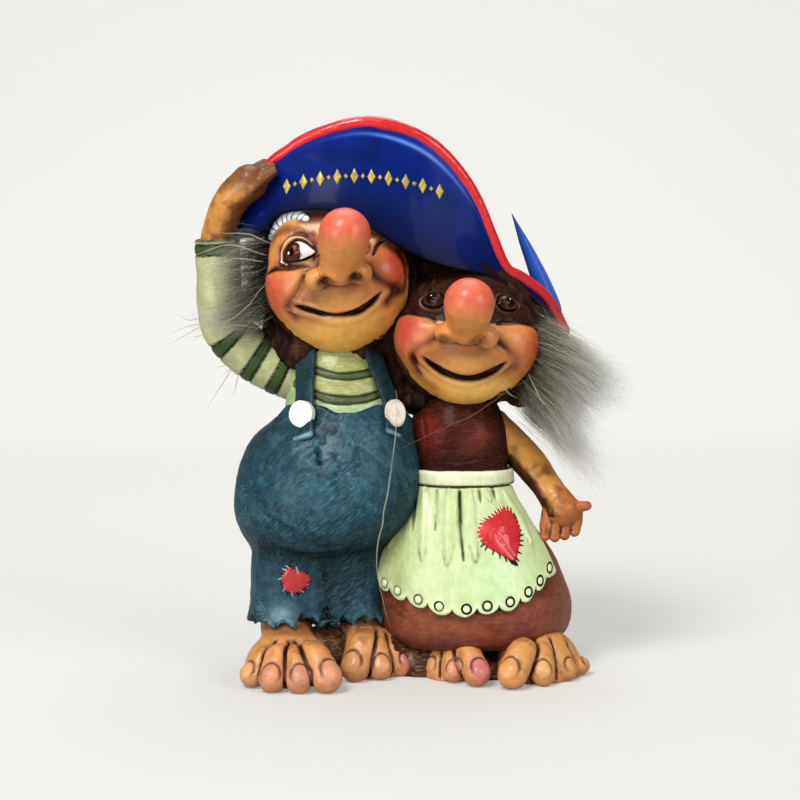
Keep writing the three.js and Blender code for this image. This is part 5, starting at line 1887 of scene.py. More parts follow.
    def knee_patch(self) -> None:
        """The red patch on the right knee."""
        leg = Stack(
            [
                (z, -31 + shift, -6.5, 10.2 + swell, 10.8 + swell)
                for z, swell, shift in ((11.5, 1.1, 0), (20, 0, 0.2), (30, 0.4, 0.8), (42, 1, 2))
            ]
        )
        patch = Patch(
            [
                (-31.8, 28.6), (-29.6, 30.8), (-26.7, 29.7), (-23.6, 27.6), (-25, 25), (-28.1, 23.6),
                (-30.9, 24.8)
            ],
            leg.front, 0.75, 0.45
        )
        clay = patch.cloth("tall_knee_patch_red")
        clay.lift(0.1 * lumps(clay.at, 1.4, 99))
        clay.coat("#B02A2C")
        clay.paint(0.5 * clay.specks(2, 100), "#8E2428")
        clay.wash_and_shade("#4A0E10", 5.0, 3)
        self.present(clay, ["tall_knee_patch"], Finish.ENAMEL)
        threads = patch.stitches("tall_knee_patch_stitches", 18, 1.0, 0.22, 0.5)
        dark = np.floor(np.arctan2(threads.z - 27.2, threads.x + 27.6) * 18 / TAU) % 2
        threads.coat("#8FA3A8")
        threads.paint(dark, "#0C0E10")
        self.present(threads, [], Finish.PALE)


@dataclass
class Dress(Assembly):
    """A brown dress with a gathered apron, its band and a heart patch."""

    ring_places: Sequence = (
        (-7, 28.4), (-4.2, 25.8), (-0.7, 24.4), (4.8, 22.8), (10.3, 21.4), (17.5, 20.9), (23, 21.7),
        (29.1, 22.5), (34.1, 24.7), (37.4, 27.2), (40.3, 29.9)
    )

    def build(self) -> None:
        """Models the short troll's clothes."""
        self.skirt()
        self.bodice()
        self.apron()
        self.band()
        self.heart()

    def skirt(self) -> None:
        """The wide skirt."""
        clay = Stack(DRESS).wrap("short_skirt_brown", 280, 150, 7.6, 53)
        x, z = clay.x - 19, clay.z
        angle = np.arctan2(x, -clay.y - 1)
        clay.lift(
            0.35 * noise(clay.at, 9, 101) + 0.07 * lumps(clay.at, 2.2, 102)
            + 0.25 * np.sin(angle * 9 + 1) * ease((30 - z) / 20) * (clay.y > -8)
        )
        clay.coat("#7C3E2C")
        clay.paint(0.5 * clay.specks(7, 104), "#4A1E14")
        clay.paint(0.6 * ease((14 - z) / 6), "#48231A")
        # a painted gloss highlight in a band across the skirt
        clay.paint(
            0.6 * fade(z - 17, 4.5) * np.clip(0.4 + streaks(clay.at, -6, 12, 1.6, 103), 0, 1), "#8A4630"
        )
        clay.paint(0.5 * clay.right(36, 8), "#7A4A38")
        clay.paint(0.55 * clay.left(2, 10), "#331610")
        clay.wash_and_shade("#1E0A07", 6.0, 4)
        # dry brush all over, heavier along the painted gloss highlight band
        clay.wear = 0.16 + 0.25 * fade(z - 16, 6)
        self.present(clay, ["short_skirt"], Finish.LEATHER)

    def bodice(self) -> None:
        """The glossy upper part."""
        clay = Stack(DRESS).wrap("short_bodice_brown", 170, 100, 53.3, 76)
        clay.lift(0.3 * noise(clay.at, 6, 105) + 0.06 * lumps(clay.at, 1.8, 106))
        trunk = Stack(DRESS)
        for marks in (
            [(27, 72), (28, 66), (29, 60)], [(6, 70), (7, 64)], [(23.5, 64), (26, 61.5), (29, 60.5)]
        ):
            clay.score(trunk.drawn(marks, 20), 0.6, -0.5)
        clay.coat("#280E09")
        clay.paint(0.7 * clay.spot(8, 4, 67, 6), "#7A1418")
        clay.paint(0.6 * clay.above(69, 5), "#2A0E0A")
        # a painted highlight on the glossy bodice
        clay.paint(0.5 * clay.spot(21, 5, 65, 4), "#8A4230")
        clay.paint(0.5 * clay.below(57.5, 3), "#38150F")
        clay.wash_and_shade("#1E0907", 6.0, 4)
        clay.wear[:] = 0.12
        self.present(clay, ["short_bodice"], Finish.LEATHER)

    def apron_hem(self, x: Points) -> Points:
        """The scalloped hem's height, with a scallop round each ring."""
        xs, zs = np.array(self.ring_places).T
        edges = np.concatenate([[2 * xs[0] - (xs[0] + xs[1]) / 2 + 0.4], (xs[1:] + xs[:-1]) / 2, [42.2]])
        i = np.clip(np.searchsorted(edges, x) - 1, 0, len(xs) - 1)
        t = np.clip((x - (edges[i] + edges[i + 1]) / 2) / ((edges[i + 1] - edges[i]) / 2), -1, 1)
        return np.interp(x, xs, zs) + 0.2 - 2.5 * np.sqrt(1 - t**2)

    def apron(self) -> None:
        """The gathered apron with its scallops, and a ring in each of them."""
        trunk = Stack(DRESS)

        def place(u: Points, v: Points) -> Points:
            """A loop down the front and up the back of the cloth, from side to side."""
            across = -np.cos(np.pi * u)
            turn = TAU * v
            drop = 0.5 - 0.5 * squared(np.cos(turn), 0.85)
            low_x = 17.2 + 24.6 * across
            hem = self.apron_hem(low_x)
            z = 51.5 + (hem - 51.5) * drop
            half = np.interp(z, [22, 29, 39, 48, 52], [24.6, 24.6, 19.6, 14.6, 12.9])
            x = np.interp(z, [22, 29, 39, 48, 52], [17.2, 17.2, 17.2, 16.8, 16.8]) + half * across
            front = np.sin(turn)
            thick = 0.65 * squared(np.clip(front * 5, -1, 1), 0.5) * closing(u, 40)
            cx, cy, a, b = trunk.at_height(z)
            angle = np.arcsin(np.clip((x - cx) / (a + 0.9), -0.985, 0.985))
            out = 0.95 + thick
            return columns(cx + (a + out) * np.sin(angle), cy - (b + out) * np.cos(angle), z)

        clay = skin("short_apron_gathered", 272, 204, place)
        x, z, v = clay.x, clay.z, clay.value("v")
        front = (v < 0.5).astype(float)
        clay.lift(front * (0.25 * noise(clay.at, 8, 111) + 0.05 * lumps(clay.at, 2, 112)))
        for marks, width, depth in (
            ([(4, 51.6), (3.8, 46), (3.3, 40.5)], 0.75, -1.0),
            ([(9.7, 51.6), (9.5, 46), (9.3, 41)], 0.8, -0.6),
            ([(15.9, 52.4), (16, 46), (16.1, 40.9), (16.8, 33.3)], 0.75, -1.3),
            ([(21.2, 52.1), (21.7, 47.6)], 0.6, -1.0), ([(24.5, 52.4), (25.9, 48.4)], 0.6, -0.9),
            ([(6.6, 51), (6.3, 42), (6, 34)], 1.3, 0.7), ([(13, 51), (12.8, 43), (12.6, 33)], 1.5, 0.7),
            ([(18.8, 51), (19, 44), (20, 34)], 1.4, 0.7), ([(1.5, 47), (-0.6, 40), (-3, 35)], 1.3, 0.5),
            ([(23, 51), (24.2, 48)], 0.8, 0.5), ([(28, 50), (31.5, 44), (35, 37)], 1.6, 0.5)
        ):
            clay.score(trunk.drawn(marks, 26, 1.5), width, depth)
        clay.coat("#BAC992")
        # painted shade on the apron's left side
        clay.paint(0.8 * ease((6 - x) / 10), "#8E9656")
        clay.paint(0.5 * clay.specks(6, 114), "#A4B474")
        clay.paint(0.5 * fade(x - 26, 9) * fade(z - 27, 7), "#B7DDA4")
        clay.paint(0.35 * np.clip(streaks(clay.at, 80, 9, 1.6, 113), 0, 1), "#DCE8BC")
        clay.wash_and_shade("#4E5A28", 8.0, 3)
        # painted shade in the deep slits at the tops of the pleats
        for marks, width in (
            ([(4, 51.6), (3.8, 46), (3.3, 40.5)], 0.55), ([(15.9, 52.4), (16, 46), (16.1, 40.4)], 0.55),
            ([(21.2, 52.1), (21.7, 47.8)], 0.4), ([(24.5, 52.4), (25.7, 48.7)], 0.4)
        ):
            clay.paint(1.1 * clay.near(trunk.drawn(marks, 26, 0.7), width), "#1C2010")
        hem = self.apron_hem(x)
        clay.paint(0.5 * fade(z - hem - 1.2, 0.8) * front, "#E2ECC6")
        # painted shade on the inner face of the apron
        clay.paint(0.8 * (1 - front), "#2E2A16")
        clay.wear[:] = 0.16
        self.present(clay, ["short_apron"], Finish.APRON)
        self.rings(trunk)

    def rings(self, trunk: Stack) -> None:
        """A dark ring with a pale middle in each scallop, all copies of one."""

        def place(u: Points, v: Points) -> Points:
            """A ring with a low dome in it."""
            out = np.interp(v, [0, 0.4, 0.5, 0.62, 0.75, 0.9, 1], [0, 0.72, 0.78, 1.0, 1.24, 1.3, 0])
            high = np.interp(v, [0, 0.3, 0.5, 0.62, 0.75, 0.9, 1], [0.3, 0.26, 0.05, 0.3, 0.05, -0.5, -0.5])
            return columns(out * np.cos(TAU * u), -high, out * np.sin(TAU * u))

        model = skin("ring", 40, 24, place)
        v = model.value("v")
        places = []
        for x, z in self.ring_places:
            squeeze = max(0.62, math.sqrt(1 - min(1, abs(x - 18) / 27) ** 2))
            flat = model.at * (1.2 * squeeze, 1.0, 1.2) + (x, 0, z)
            flat[:, 1] += trunk.front(flat[:, 0], flat[:, 2], 1.65)[:, 1]
            places.append(flat)
        clay = flock("short_apron_rings", model, np.array(places))
        clay.coat("#D8E2B0")
        clay.paint(
            np.tile(ease((v - 0.47) / 0.04), 11) * np.repeat(
                [1, 0.45, 0.45, 0.6, 1, 1, 0.9, 1, 1, 1, 0.9], len(v)
            ),
            "#12150B"
        )
        self.present(clay, [], Finish.APRON)

    def band(self) -> None:
        """The flat waistband."""
        trunk = Stack(DRESS)

        def place(u: Points, v: Points) -> Points:
            """A ring round the waist with a flat section."""
            turn = TAU * v
            wide = 0.85 * squared(np.cos(turn), 0.6) + 0.85
            high = 2.0 * squared(np.sin(turn), 0.4)
            at = trunk.surface(TAU * u, 53.6 + high, wide)
            at[:, 2] += 0.5 * np.sin(np.pi * np.clip((at[:, 0] - 5) / 25, 0, 1)) * (at[:, 1] < 0)
            return at

        clay = skin("short_apron_band_pale", 260, 36, place)
        clay.lift(0.15 * noise(clay.at, 4, 121) + 0.04 * lumps(clay.at, 1.5, 122))
        clay.coat("#CBD3AA")
        # painted shade on the band's left side
        clay.paint(0.5 * clay.left(10, 8), "#9CB07A")
        # a painted highlight along the band's upper edge
        clay.paint(0.6 * fade(clay.z - 55.4, 0.7), "#E4EBCB")
        # painted shade under the band's lower edge
        clay.paint(0.9 * clay.below(52.6, 0.8), "#20260F")
        clay.wash_and_shade("#5A6A30", 5.0, 3)
        clay.wear[:] = 0.3
        self.present(clay, ["short_apron_band"], Finish.APRON)

    def heart(self) -> None:
        """The red heart patch and its stitches."""
        trunk = Stack(DRESS)
        patch = Patch(
            [
                (20, 40.6), (21.6, 43.4), (24.3, 44.8), (26.6, 46.2), (29.4, 46.3), (31.4, 44), (32.4, 40.6),
                (32.1, 37.2), (30.9, 33), (30.1, 32.4), (26.4, 34.6), (22, 37.4)
            ],
            lambda x, z, out: trunk.front(x, z, 1.7), 0.6, 0.8
        )
        clay = patch.cloth("short_heart_patch_red")
        clay.lift(0.08 * lumps(clay.at, 1.8, 131))
        clay.score(trunk.drawn([(23.5, 41.5), (27, 38), (30.5, 33.8)], 24, 2.4), 0.5, -0.25)
        clay.coat("#BE1F24")
        # a painted highlight on the heart
        clay.paint(0.6 * clay.spot(22.5, 2, 41.5, 1.6), "#D8505A")
        clay.wash_and_shade("#5A0A10", 5.0, 3)
        self.present(clay, ["short_heart_patch"], Finish.ENAMEL)
        threads = patch.stitches("short_heart_stitches", 34, 1.05, 0.2, 0.35)
        pale = (threads.x < 26) * (threads.z > 38) + (threads.z > 44.5)
        threads.coat("#15170D")
        threads.paint(np.clip(pale, 0, 1) * 0.95, "#DDE2C4")
        self.present(threads, [], Finish.PALE)


# Arms and feet


def fingers(
    palm: Sequence[float], along: Sequence[float], beside: Sequence[float], count: int, radius: float,
    length: float
) -> list[Limb]:
    """Bent fingers side by side, with a knuckle in each."""
    palm, along, beside = np.array(palm, float), unit(np.array(along, float)), unit(np.array(beside, float))
    found = []
    for i in range(count):
        root = palm + beside * (i - (count - 1) / 2) * radius * 1.7
        reach = length * (1 - 0.08 * abs(i - 1.3))
        found.append(
            Limb(
                [root, root + along * reach * 0.55, root + along * reach],
                [radius, radius * 1.08, radius * 0.82]
            )
        )
    return found


@dataclass
class Arms(Assembly):
    """The sleeves, the bare arms and the hands of both trolls."""

    def build(self) -> None:
        """Models the four arms."""
        self.right_sleeve()
        self.left_sleeve()
        self.hand(
            "tall_right_hand_painted",
            [
                Limb(
                    [(-49.6, -3.6, 114), (-49, -5, 119.5), (-45.2, -9, 128), (-40, -10.5, 132.9)],
                    [4.3, 4.4, 4.5, 4.9]
                )
            ] + fingers((-40, -10.5, 132.9), (0.75, 0.25, 0.6), (-0.3, 0.8, 0.3), 4, 1.55, 7.5),
            ["tall_right_hand"]
        )
        self.hand(
            "tall_left_hand_painted",
            [Limb([(17, 14.8, 68.8), (25, 11.5, 65.5)], [4.05, 4.5])] + fingers(
                (25, 11.5, 65.5), (0.75, -0.35, -0.55), (0.5, 0, 0.8), 2, 2.4, 5.5
            ),
            ["tall_left_hand"]
        )
        self.hand(
            "short_left_arm_painted",
            [
                Limb(
                    [(25.5, -0.5, 66.8), (35, -0.5, 57.5), (41, -3.5, 49.5), (44.2, -6.5, 44.4)],
                    [4.9, 4.7, 4.1, 5.0]
                ),
                Limb([(44.2, -6.5, 44.6), (48, -8, 45.6), (50.6, -8.5, 45.9)], [2.0, 1.6, 1.3])
            ] + fingers((44.2, -6.5, 44.4), (-0.12, -0.35, -0.9), (0.9, 0.1, 0.1), 4, 1.62, 7.6),
            ["short_left_arm"]
        )
        self.hand(
            "short_right_arm_painted",
            [
                Limb([(8, 5, 65), (-2, 16.5, 60), (-16, 17.5, 56)], [4.3, 4.3, 4.3])
            ] + fingers((-16, 17.5, 56), (-0.95, -0.05, -0.3), (-0.2, 0, 0.9), 4, 1.5, 7),
            ["short_right_arm"]
        )

    def hand(self, name: str, parts: Sequence[Limb], nodes: Sequence[str]) -> None:
        """A bare arm or hand: lumpy, with creases at the joints and nails at the tips."""
        clay = Form(name, parts, 0.6).cast(0.34)
        clay.lift(0.12 * lumps(clay.at, 3, 141) + 0.05 * noise(clay.at, 1, 142))
        clay.coat("#BC8038")
        clay.paint(0.6 * clay.clouds(4, 143, 0.2), "#BC8638")
        clay.paint(0.8 * clay.specks(3, 144, more=-0.1), "#5E3414")
        for part in parts[1:]:
            way = unit(part.path[-1] - part.path[-3])
            nail = part.path[-1] + part.thick[-1] * unit(way * 0.55 + (0, -0.8, 0.25))
            edge = nail - way * 0.8
            clay.score(np.array([edge - (0.7, 0, 0), nail - way, edge + (0.7, 0, 0)]), 0.3, -0.3)
            clay.paint(0.6 * fade(clay.apart(nail), 0.9), "#C98A70")
        reach = np.min([clay.apart(part.path[-1]) for part in parts[1:]], axis=0)
        clay.paint(0.7 * ease((11 - reach) / 6), "#96491F" if name.startswith("short") else "#7C4820")
        clay.wash_and_shade("#2E1206", 7.5, 3)
        shade_normals = clay.normals()
        # painted shade on the side of the arm that faces away from the light
        if name.startswith("short_left"):
            clay.paint(
                0.85 * ease((-shade_normals[:, 0] * 0.8 - shade_normals[:, 2] * 0.6 - 0.25) / 0.4) * (clay.z > 43), "#2C120B"
            )
        # painted shade on the side of the raised arm that faces away from the light
        if name.startswith("tall_right"):
            clay.paint(0.7 * ease((shade_normals[:, 0] * 0.8 - shade_normals[:, 2] * 0.5 - 0.05) / 0.6), "#4A2410")
            clay.paint(0.7 * clay.above(129, 5), "#5E3618")
        self.present(clay, nodes, Finish.SKIN)

    def stripe(self, clay: Clay, v: Points, bands: Marks, shade: Points) -> None:
        """Grooved dark green bands round a sleeve."""
        clay.coat("#A9AC7C")
        clay.paint(0.4 * clay.clouds(5, 151), "#8D9268")
        wear = np.full(len(clay.at), 0.3)
        for low, high in bands:
            band = ease((v - low) / 0.004) * ease((high - v) / 0.004)
            wear *= 1 - band
            clay.paint(band, "#33491F")
            for edge in (low, high):
                groove = fade(v - edge, 0.005)
                clay.lift(-0.35 * groove)
                clay.paint(1.2 * groove, "#0F140A")
        clay.paint(0.6 * shade, "#2A3322")
        clay.wash_and_shade("#20240F", 5.0, 3)
        clay.wear = wear

    def right_sleeve(self) -> None:
        """The sleeve of the raised arm, cut straight at the wrist."""
        path = [
            (-22, 1.5, 77.6), (-27.5, 1, 80), (-34, 0.2, 83), (-42, -0.6, 88), (-47.2, -1.2, 93.2),
            (-48.9, -2.2, 100), (-49.1, -3.2, 109), (-49.4, -4, 117.5)
        ]
        spine = Spine(path, [5.6, 7.0, 7.3, 7.0, 6.5, 6.1, 6.0, 6.2], 200, 0.18)
        clay = skin("tall_right_sleeve_striped", 90, 380, spine.place)
        v = clay.value("v")
        clay.lift(0.25 * noise(clay.at, 6, 152) + 0.08 * lumps(clay.at, 2, 153))
        share = lambda x, z: spine.share[np.argmin(np.linalg.norm(spine.middle[:, [0, 2]] - (x, z), axis=1))]
        bands = [
            (c - 0.02, c + 0.02)
            for c in (share(-33.1, 81.7), share(-38.9, 86.1), share(-46, 91), share(-49, 115.4))
        ]
        shade = clay.right(-47, 8) * clay.above(88, 10)
        self.stripe(clay, v, bands, shade)
        cut = unit(np.array([-0.03, -0.12, 1.0]))
        end = clay.at @ cut > spine.middle[-14] @ cut + 0.15
        # painted shade inside the sleeve's opening at the wrist
        clay.paint(0.7 * end, "#20160C")
        self.present(clay, ["tall_right_sleeve"], Finish.SHIRT)

    def left_sleeve(self) -> None:
        """The sleeve behind the short troll's back."""
        spine = Spine(
            [(-7, 4, 77), (1, 11.5, 75), (8, 15.3, 72), (20, 14.5, 68), (23, 13.2, 66.8)],
            [5.2, 5.2, 5.2, 5.2, 5.3], 160, 0.25
        )
        clay = skin("tall_left_sleeve_striped", 90, 170, spine.place)
        clay.lift(0.2 * noise(clay.at, 5, 154) + 0.06 * lumps(clay.at, 2, 155))
        self.stripe(
            clay, clay.value("v"), [(0.2, 0.25), (0.42, 0.47), (0.64, 0.69), (0.84, 0.89)],
            np.zeros(len(clay.at))
        )
        self.present(clay, ["tall_left_sleeve"], Finish.SHIRT)


@dataclass
class Foot(Assembly):
    """A bare foot with four knobbly toes."""

    name: str = ""
    ankle: Trio = (0, 0, 0)
    instep: tuple[float, float] = (0, 0)
    half: Trio = (0, 0, 0)
    yaw: float = 0.0
    toes: Sequence[Trio] = ()
    nails: Sequence[str] = ()

    def build(self) -> None:
        """Models the foot."""
        x, y = self.instep
        ankle_x, ankle_y, thick = self.ankle
        parts = [
            Ball((x, y + 1.2, 1), (self.half[0] * 0.97, self.half[1] * 0.92, self.half[2] * 1.02), self.yaw),
            Limb(
                [(x * 0.6 + ankle_x * 0.4, y * 0.6 + ankle_y * 0.4, 4), (ankle_x, ankle_y, 15.5)],
                [thick] * 2
            )
        ]
        digits = []
        for tx, ty, r in self.toes:
            tip = np.array([tx, ty, r * 0.9])
            root = tip + 0.55 * (np.array([x, y, 0]) - tip)
            root[2] = min(self.half[2] * 0.62, r * 1.9)
            way = unit(tip - root)
            knuckle = tip - way * r * 1.4 + (0, 0, r * 0.5)
            digits.append(Limb([root, knuckle, tip], [r * 0.8, r * 0.92, r * 0.95]))
        clay = Form(
            self.name + "_painted", [Form("sole", parts, 1.5), *digits], 0.5, [(lambda at: at[:, 2], 0.5)]
        ).cast(0.38, 7)
        clay.lift(0.16 * lumps(clay.at, 3.2, 161) + 0.05 * noise(clay.at, 1, 162))
        clay.coat("#C88A4C")
        clay.paint(0.6 * clay.clouds(6, 163, 0.2), "#D88E5C")
        clay.paint(0.7 * clay.specks(2.6, 164, more=-0.1), "#8A5428")
        clay.paint(0.45 * clay.below(5, 4), "#CC7E5C")
        frames = []
        for digit, (tx, ty, r), code in zip(digits, self.toes, self.nails):
            way = unit((digit.path[-1] - digit.path[0]) * (1, 1, 0))
            side = np.array([-way[1], way[0], 0])
            up = unit(way * 1.3 + (0, 0, 0.8))
            ahead = unit(way - (way @ up) * up)
            centre = digit.path[-1] + up * r
            q = clay.at - centre
            flat = np.hypot((q @ side) / (0.66 * r), (q @ ahead + 0.05 * r) / (0.78 * r))
            near = np.abs(q @ up) < 0.8 * r
            behind = near * ease(0.6 - (q @ ahead) / r)
            frames.append((flat, near, behind, code))
            clay.lift(near * 0.2 * ease((1 - flat) / 0.2) - behind * 0.4 * fade(flat - 1.1, 0.13))
            for i in range(2):
                middle = digit.path[7] - way * r * (0.1 + 0.7 * i) + np.array([0, 0, digit.thick[7]])
                clay.score(np.array([middle - side * r * 0.7, middle, middle + side * r * 0.7]), 0.3, -0.3)
        gaps = [digit.gap(clay.at) for digit in digits]
        for a, b in zip(gaps, gaps[1:]):
            # painted shade in the grooves between the toes
            shaded_crease = fade(a - b, 0.5) * ease((2.6 - np.minimum(a, b)) / 1.6) * ease(clay.z / 1.5)
            clay.lift(-0.7 * shaded_crease)
            clay.paint(0.9 * shaded_crease, "#2A1108")
        clay.wash_and_shade("#2A1007", 9.0, 3)
        for flat, near, behind, code in frames:
            clay.paint(near * 0.7 * fade(np.clip(flat - 0.7, 0, 9), 0.7), code)
            clay.paint(behind * 0.6 * fade(flat - 1.1, 0.12), "#3A180C")
        # painted shade on the upper foot, under the hem
        clay.paint(0.85 * clay.above(11, 3), "#7E4A2A")
        self.present(clay, [self.name], Finish.SKIN)


FEET = (
    Foot(
        "tall_right_foot", (-31, -8, 7), (-30, -16.5), (12.6, 12, 12.4), 3,
        ((-39, -24.5, 3.5), (-33.2, -29.6, 3.9), (-26.3, -30.4, 3.9), (-19.2, -30, 4.5)),
        ("#D09A68", "#C9846A", "#C4836E", "#D08C78")
    ),
    Foot(
        "tall_left_foot", (-11.4, -4.5, 5.6), (-7.6, -9.8), (10, 8.8, 12), 30,
        ((3.6, -7.5, 2.7), (-0.2, -12.5, 3.1), (-5.4, -16.6, 3.5), (-12, -18.3, 4.2)),
        ("#B87A6A", "#C87C74", "#D0926A", "#C08A58")
    ),
    Foot(
        "short_right_foot", (14, -5, 5), (14.8, -12.4), (9.4, 9, 9.5), -36,
        ((7.6, -9.5, 2.4), (10, -14.6, 2.7), (14.4, -19.6, 3.1), (20.4, -23.4, 3.9)),
        ("#C89C60", "#C09058", "#D08A74", "#C06A78")
    ),
    Foot(
        "short_left_foot", (33, -6, 5.6), (37.6, -12.6), (13, 11, 12), 30,
        ((48.8, -11.8, 2.7), (44.4, -17.5, 3.1), (37.7, -22.8, 3.5), (29.6, -26, 4.3)),
        ("#B8844E", "#C08C50", "#D0A068", "#D8985C")
    )
)


@dataclass
class Ground(Assembly):
    """The lump of ground between and behind the feet."""

    def build(self) -> None:
        """Models the ground."""
        stack = Stack(
            [
                (0, 3, 4, 38.4, 12.4), (1.5, 3, 4, 39, 13), (4.5, 3, 4, 38.5, 12.7), (7.5, 3, 4, 36, 10.5),
                (9.3, 3, 4, 31, 7)
            ]
        )
        mounds = [
            Ball(centre, half)
            for centre, half in (
                ((-21, -7, 4), (9, 8, 9)), ((7, -9, 2), (9, 6, 6)), ((24, -12, 1), (7, 6, 5)),
                ((-4, -8, 4), (7, 7, 7))
            )
        ]
        clay = Form("base_ground", [stack, *mounds], 2.0, [(lambda at: at[:, 2], 0.4)]).cast(0.6, 7)
        above = ease(clay.z / 2)
        clay.lift(above * (0.5 * noise(clay.at, 5, 171) + 0.3 * lumps(clay.at, 2, 172)))
        clay.at[:, 2] = np.maximum(clay.z, 0)
        clay.coat("#3A1E12")
        clay.paint(0.7 * clay.specks(2.2, 173), "#7A5230")
        clay.wash_and_shade("#160A06", 6.0, 3)
        clay.wear[:] = 0.5
        self.present(clay, ["base"], Finish.GROUND)


# Fur


@dataclass
class Tuft(Assembly):
    """A glued tuft of fur that is combed along a few guide curves."""

    name: str = ""
    guides: Sequence = ()
    count: int = 7000
    seed: int = 1
    root_spread: float = 2.4
    tip_spread: float = 3.0
    locks: int = 60
    shades: Sequence[str] = ("#4E4936", "#BDBAA6", "#F2F1EA", "#FFFFFF")
    thickness: float = 0.055
    curl: float = 1.0
    node: bool = True

    def build(self) -> None:
        """Models one fibre and copies it along blends of the guides."""
        model = rod("fibre", 3, 6, lambda v: np.minimum(1, v * 40) * (1 - v) ** 0.6, lambda v: v)
        rng = np.random.default_rng(self.seed)
        guides = np.array([curve(g, 24) for g in self.guides])
        count = self.count
        which = rng.random(count) * (len(guides) - 1)
        low = np.minimum(which.astype(int), len(guides) - 2)
        part = (which - low)[:, None, None]
        lines = guides[low] * (1 - part) + guides[low + 1] * part
        steps = np.linspace(0, 1, 24)[None, :, None]
        root = rng.normal(0, 1, (count, 1, 3)) * (self.root_spread * 0.6, self.root_spread, self.root_spread)
        lock = (which / (len(guides) - 1) * self.locks + rng.random(count) * 3).astype(int)
        strays = rng.normal(
            0, 1, (self.locks + 4, 1, 3)
        )[lock] * 1.1 + rng.normal(0, 1, (count, 1, 3)) * 0.45
        lines = lines + root * (1 - 0.75 * steps) + strays * (
            self.tip_spread, self.tip_spread * 0.9, self.tip_spread
        ) * steps**1.5
        wave = rng.random((self.locks + 4, 1, 3))[lock] * 6.283 + rng.random((count, 1, 3)) * 1.5
        lines = lines + self.curl * (0.3 + 0.7 * rng.random((count, 1, 1))) * steps * np.sin(
            steps * (5 + 7 * rng.random((count, 1, 1))) + wave
        )
        reach = np.clip(rng.normal(0.78, 0.2, count), 0.3, 1.05)
        shares = np.clip(model.at[None, :, 2] * reach[:, None], 0, 1) * 23
        i = np.minimum(shares.astype(int), 22)
        t = (shares - i)[:, :, None]
        rows = np.arange(count)[:, None]
        middle = lines[rows, i] * (1 - t) + lines[rows, i + 1] * t
        along = unit(lines[rows, i + 1] - lines[rows, i])
        side = unit(np.cross(along, (0.1, 1.0, 0.05)))
        up = np.cross(along, side)
        thick = self.thickness * (0.6 + 0.8 * rng.random((count, 1, 1)))
        places = middle + thick * (model.at[None, :, 0:1] * side + model.at[None, :, 1:2] * up)
        clay = flock(self.name + "_fibres", model, places)
        share = (np.tile(model.z, (count, 1)) * reach[:, None]).ravel()
        tone = np.repeat(rng.random(count), len(model.at))
        clay.coat(self.shades[0])
        clay.paint(ease(share / 0.35), self.shades[1])
        clay.paint(ease((share - 0.25) / 0.35), self.shades[2])
        clay.paint(ease((share - 0.5) / 0.35), self.shades[3])
        clay.paint(0.6 * ease((0.4 - tone) / 0.3) * ease((0.7 - share) / 0.5), self.shades[0])
        clay.paint(0.8 * ease((tone - 0.86) / 0.08), "#FFFDF2")
        self.present(clay, [self.name] if self.node else [], Finish.FUR)


FUR = (
    Tuft(
        "tall_hair_tuft",
        (
            ((-34.5, -5, 118), (-41, -11, 118.4), (-47, -12, 118)),
            ((-34.8, -5, 113.8), (-42, -12, 112.3), (-50.3, -12, 110.1)),
            ((-35.2, -5, 107.6), (-43, -12, 103.3), (-51, -12, 99.5)),
            ((-35.2, -5, 102.6), (-43, -12, 98.4), (-55, -13, 94)),
            ((-35.2, -5, 97.7), (-40, -12, 94.8), (-47, -12, 93.4))
        ),
        2600, 11, 2.2, 2.0, 45, shades=("#2A2416", "#6E6B54", "#A3A28E", "#D6D6CA")
    ),
    Tuft(
        "short_hair_tuft",
        (
            ((36, -6, 93.5), (45.3, -10, 90.3), (53.9, -10, 85.3), (60.3, -10, 80)),
            ((36, -6, 89.5), (46.3, -10, 85), (55.4, -10, 79.9), (62.2, -10, 77.6)),
            ((36, -6, 85.4), (45, -10, 80.5), (51.5, -10, 74.5), (54.5, -10, 71.5)),
            ((35.5, -6, 81.3), (42.9, -10, 76), (47, -10, 70), (49, -10, 66)),
            ((34.2, -6, 77.9), (42, -10.5, 70), (48.5, -11.5, 62), (55.5, -11.5, 54)),
            ((33, -6.5, 76.5), (39.5, -11, 68.5), (45, -12, 61), (52, -12, 54))
        ),
        3300, 12, 2.6, 2.2, curl=1.4, thickness=0.05
    )
)
FUR += (
    Tuft(
        "short_hair_wisps", FUR[1].guides, 3600, 14, 3.2, 3.0, 90,
        ("#8A8770", "#E6E5DA", "#FFFFFF", "#FFFFFF"), 0.042, 2.4, False
    ),
)


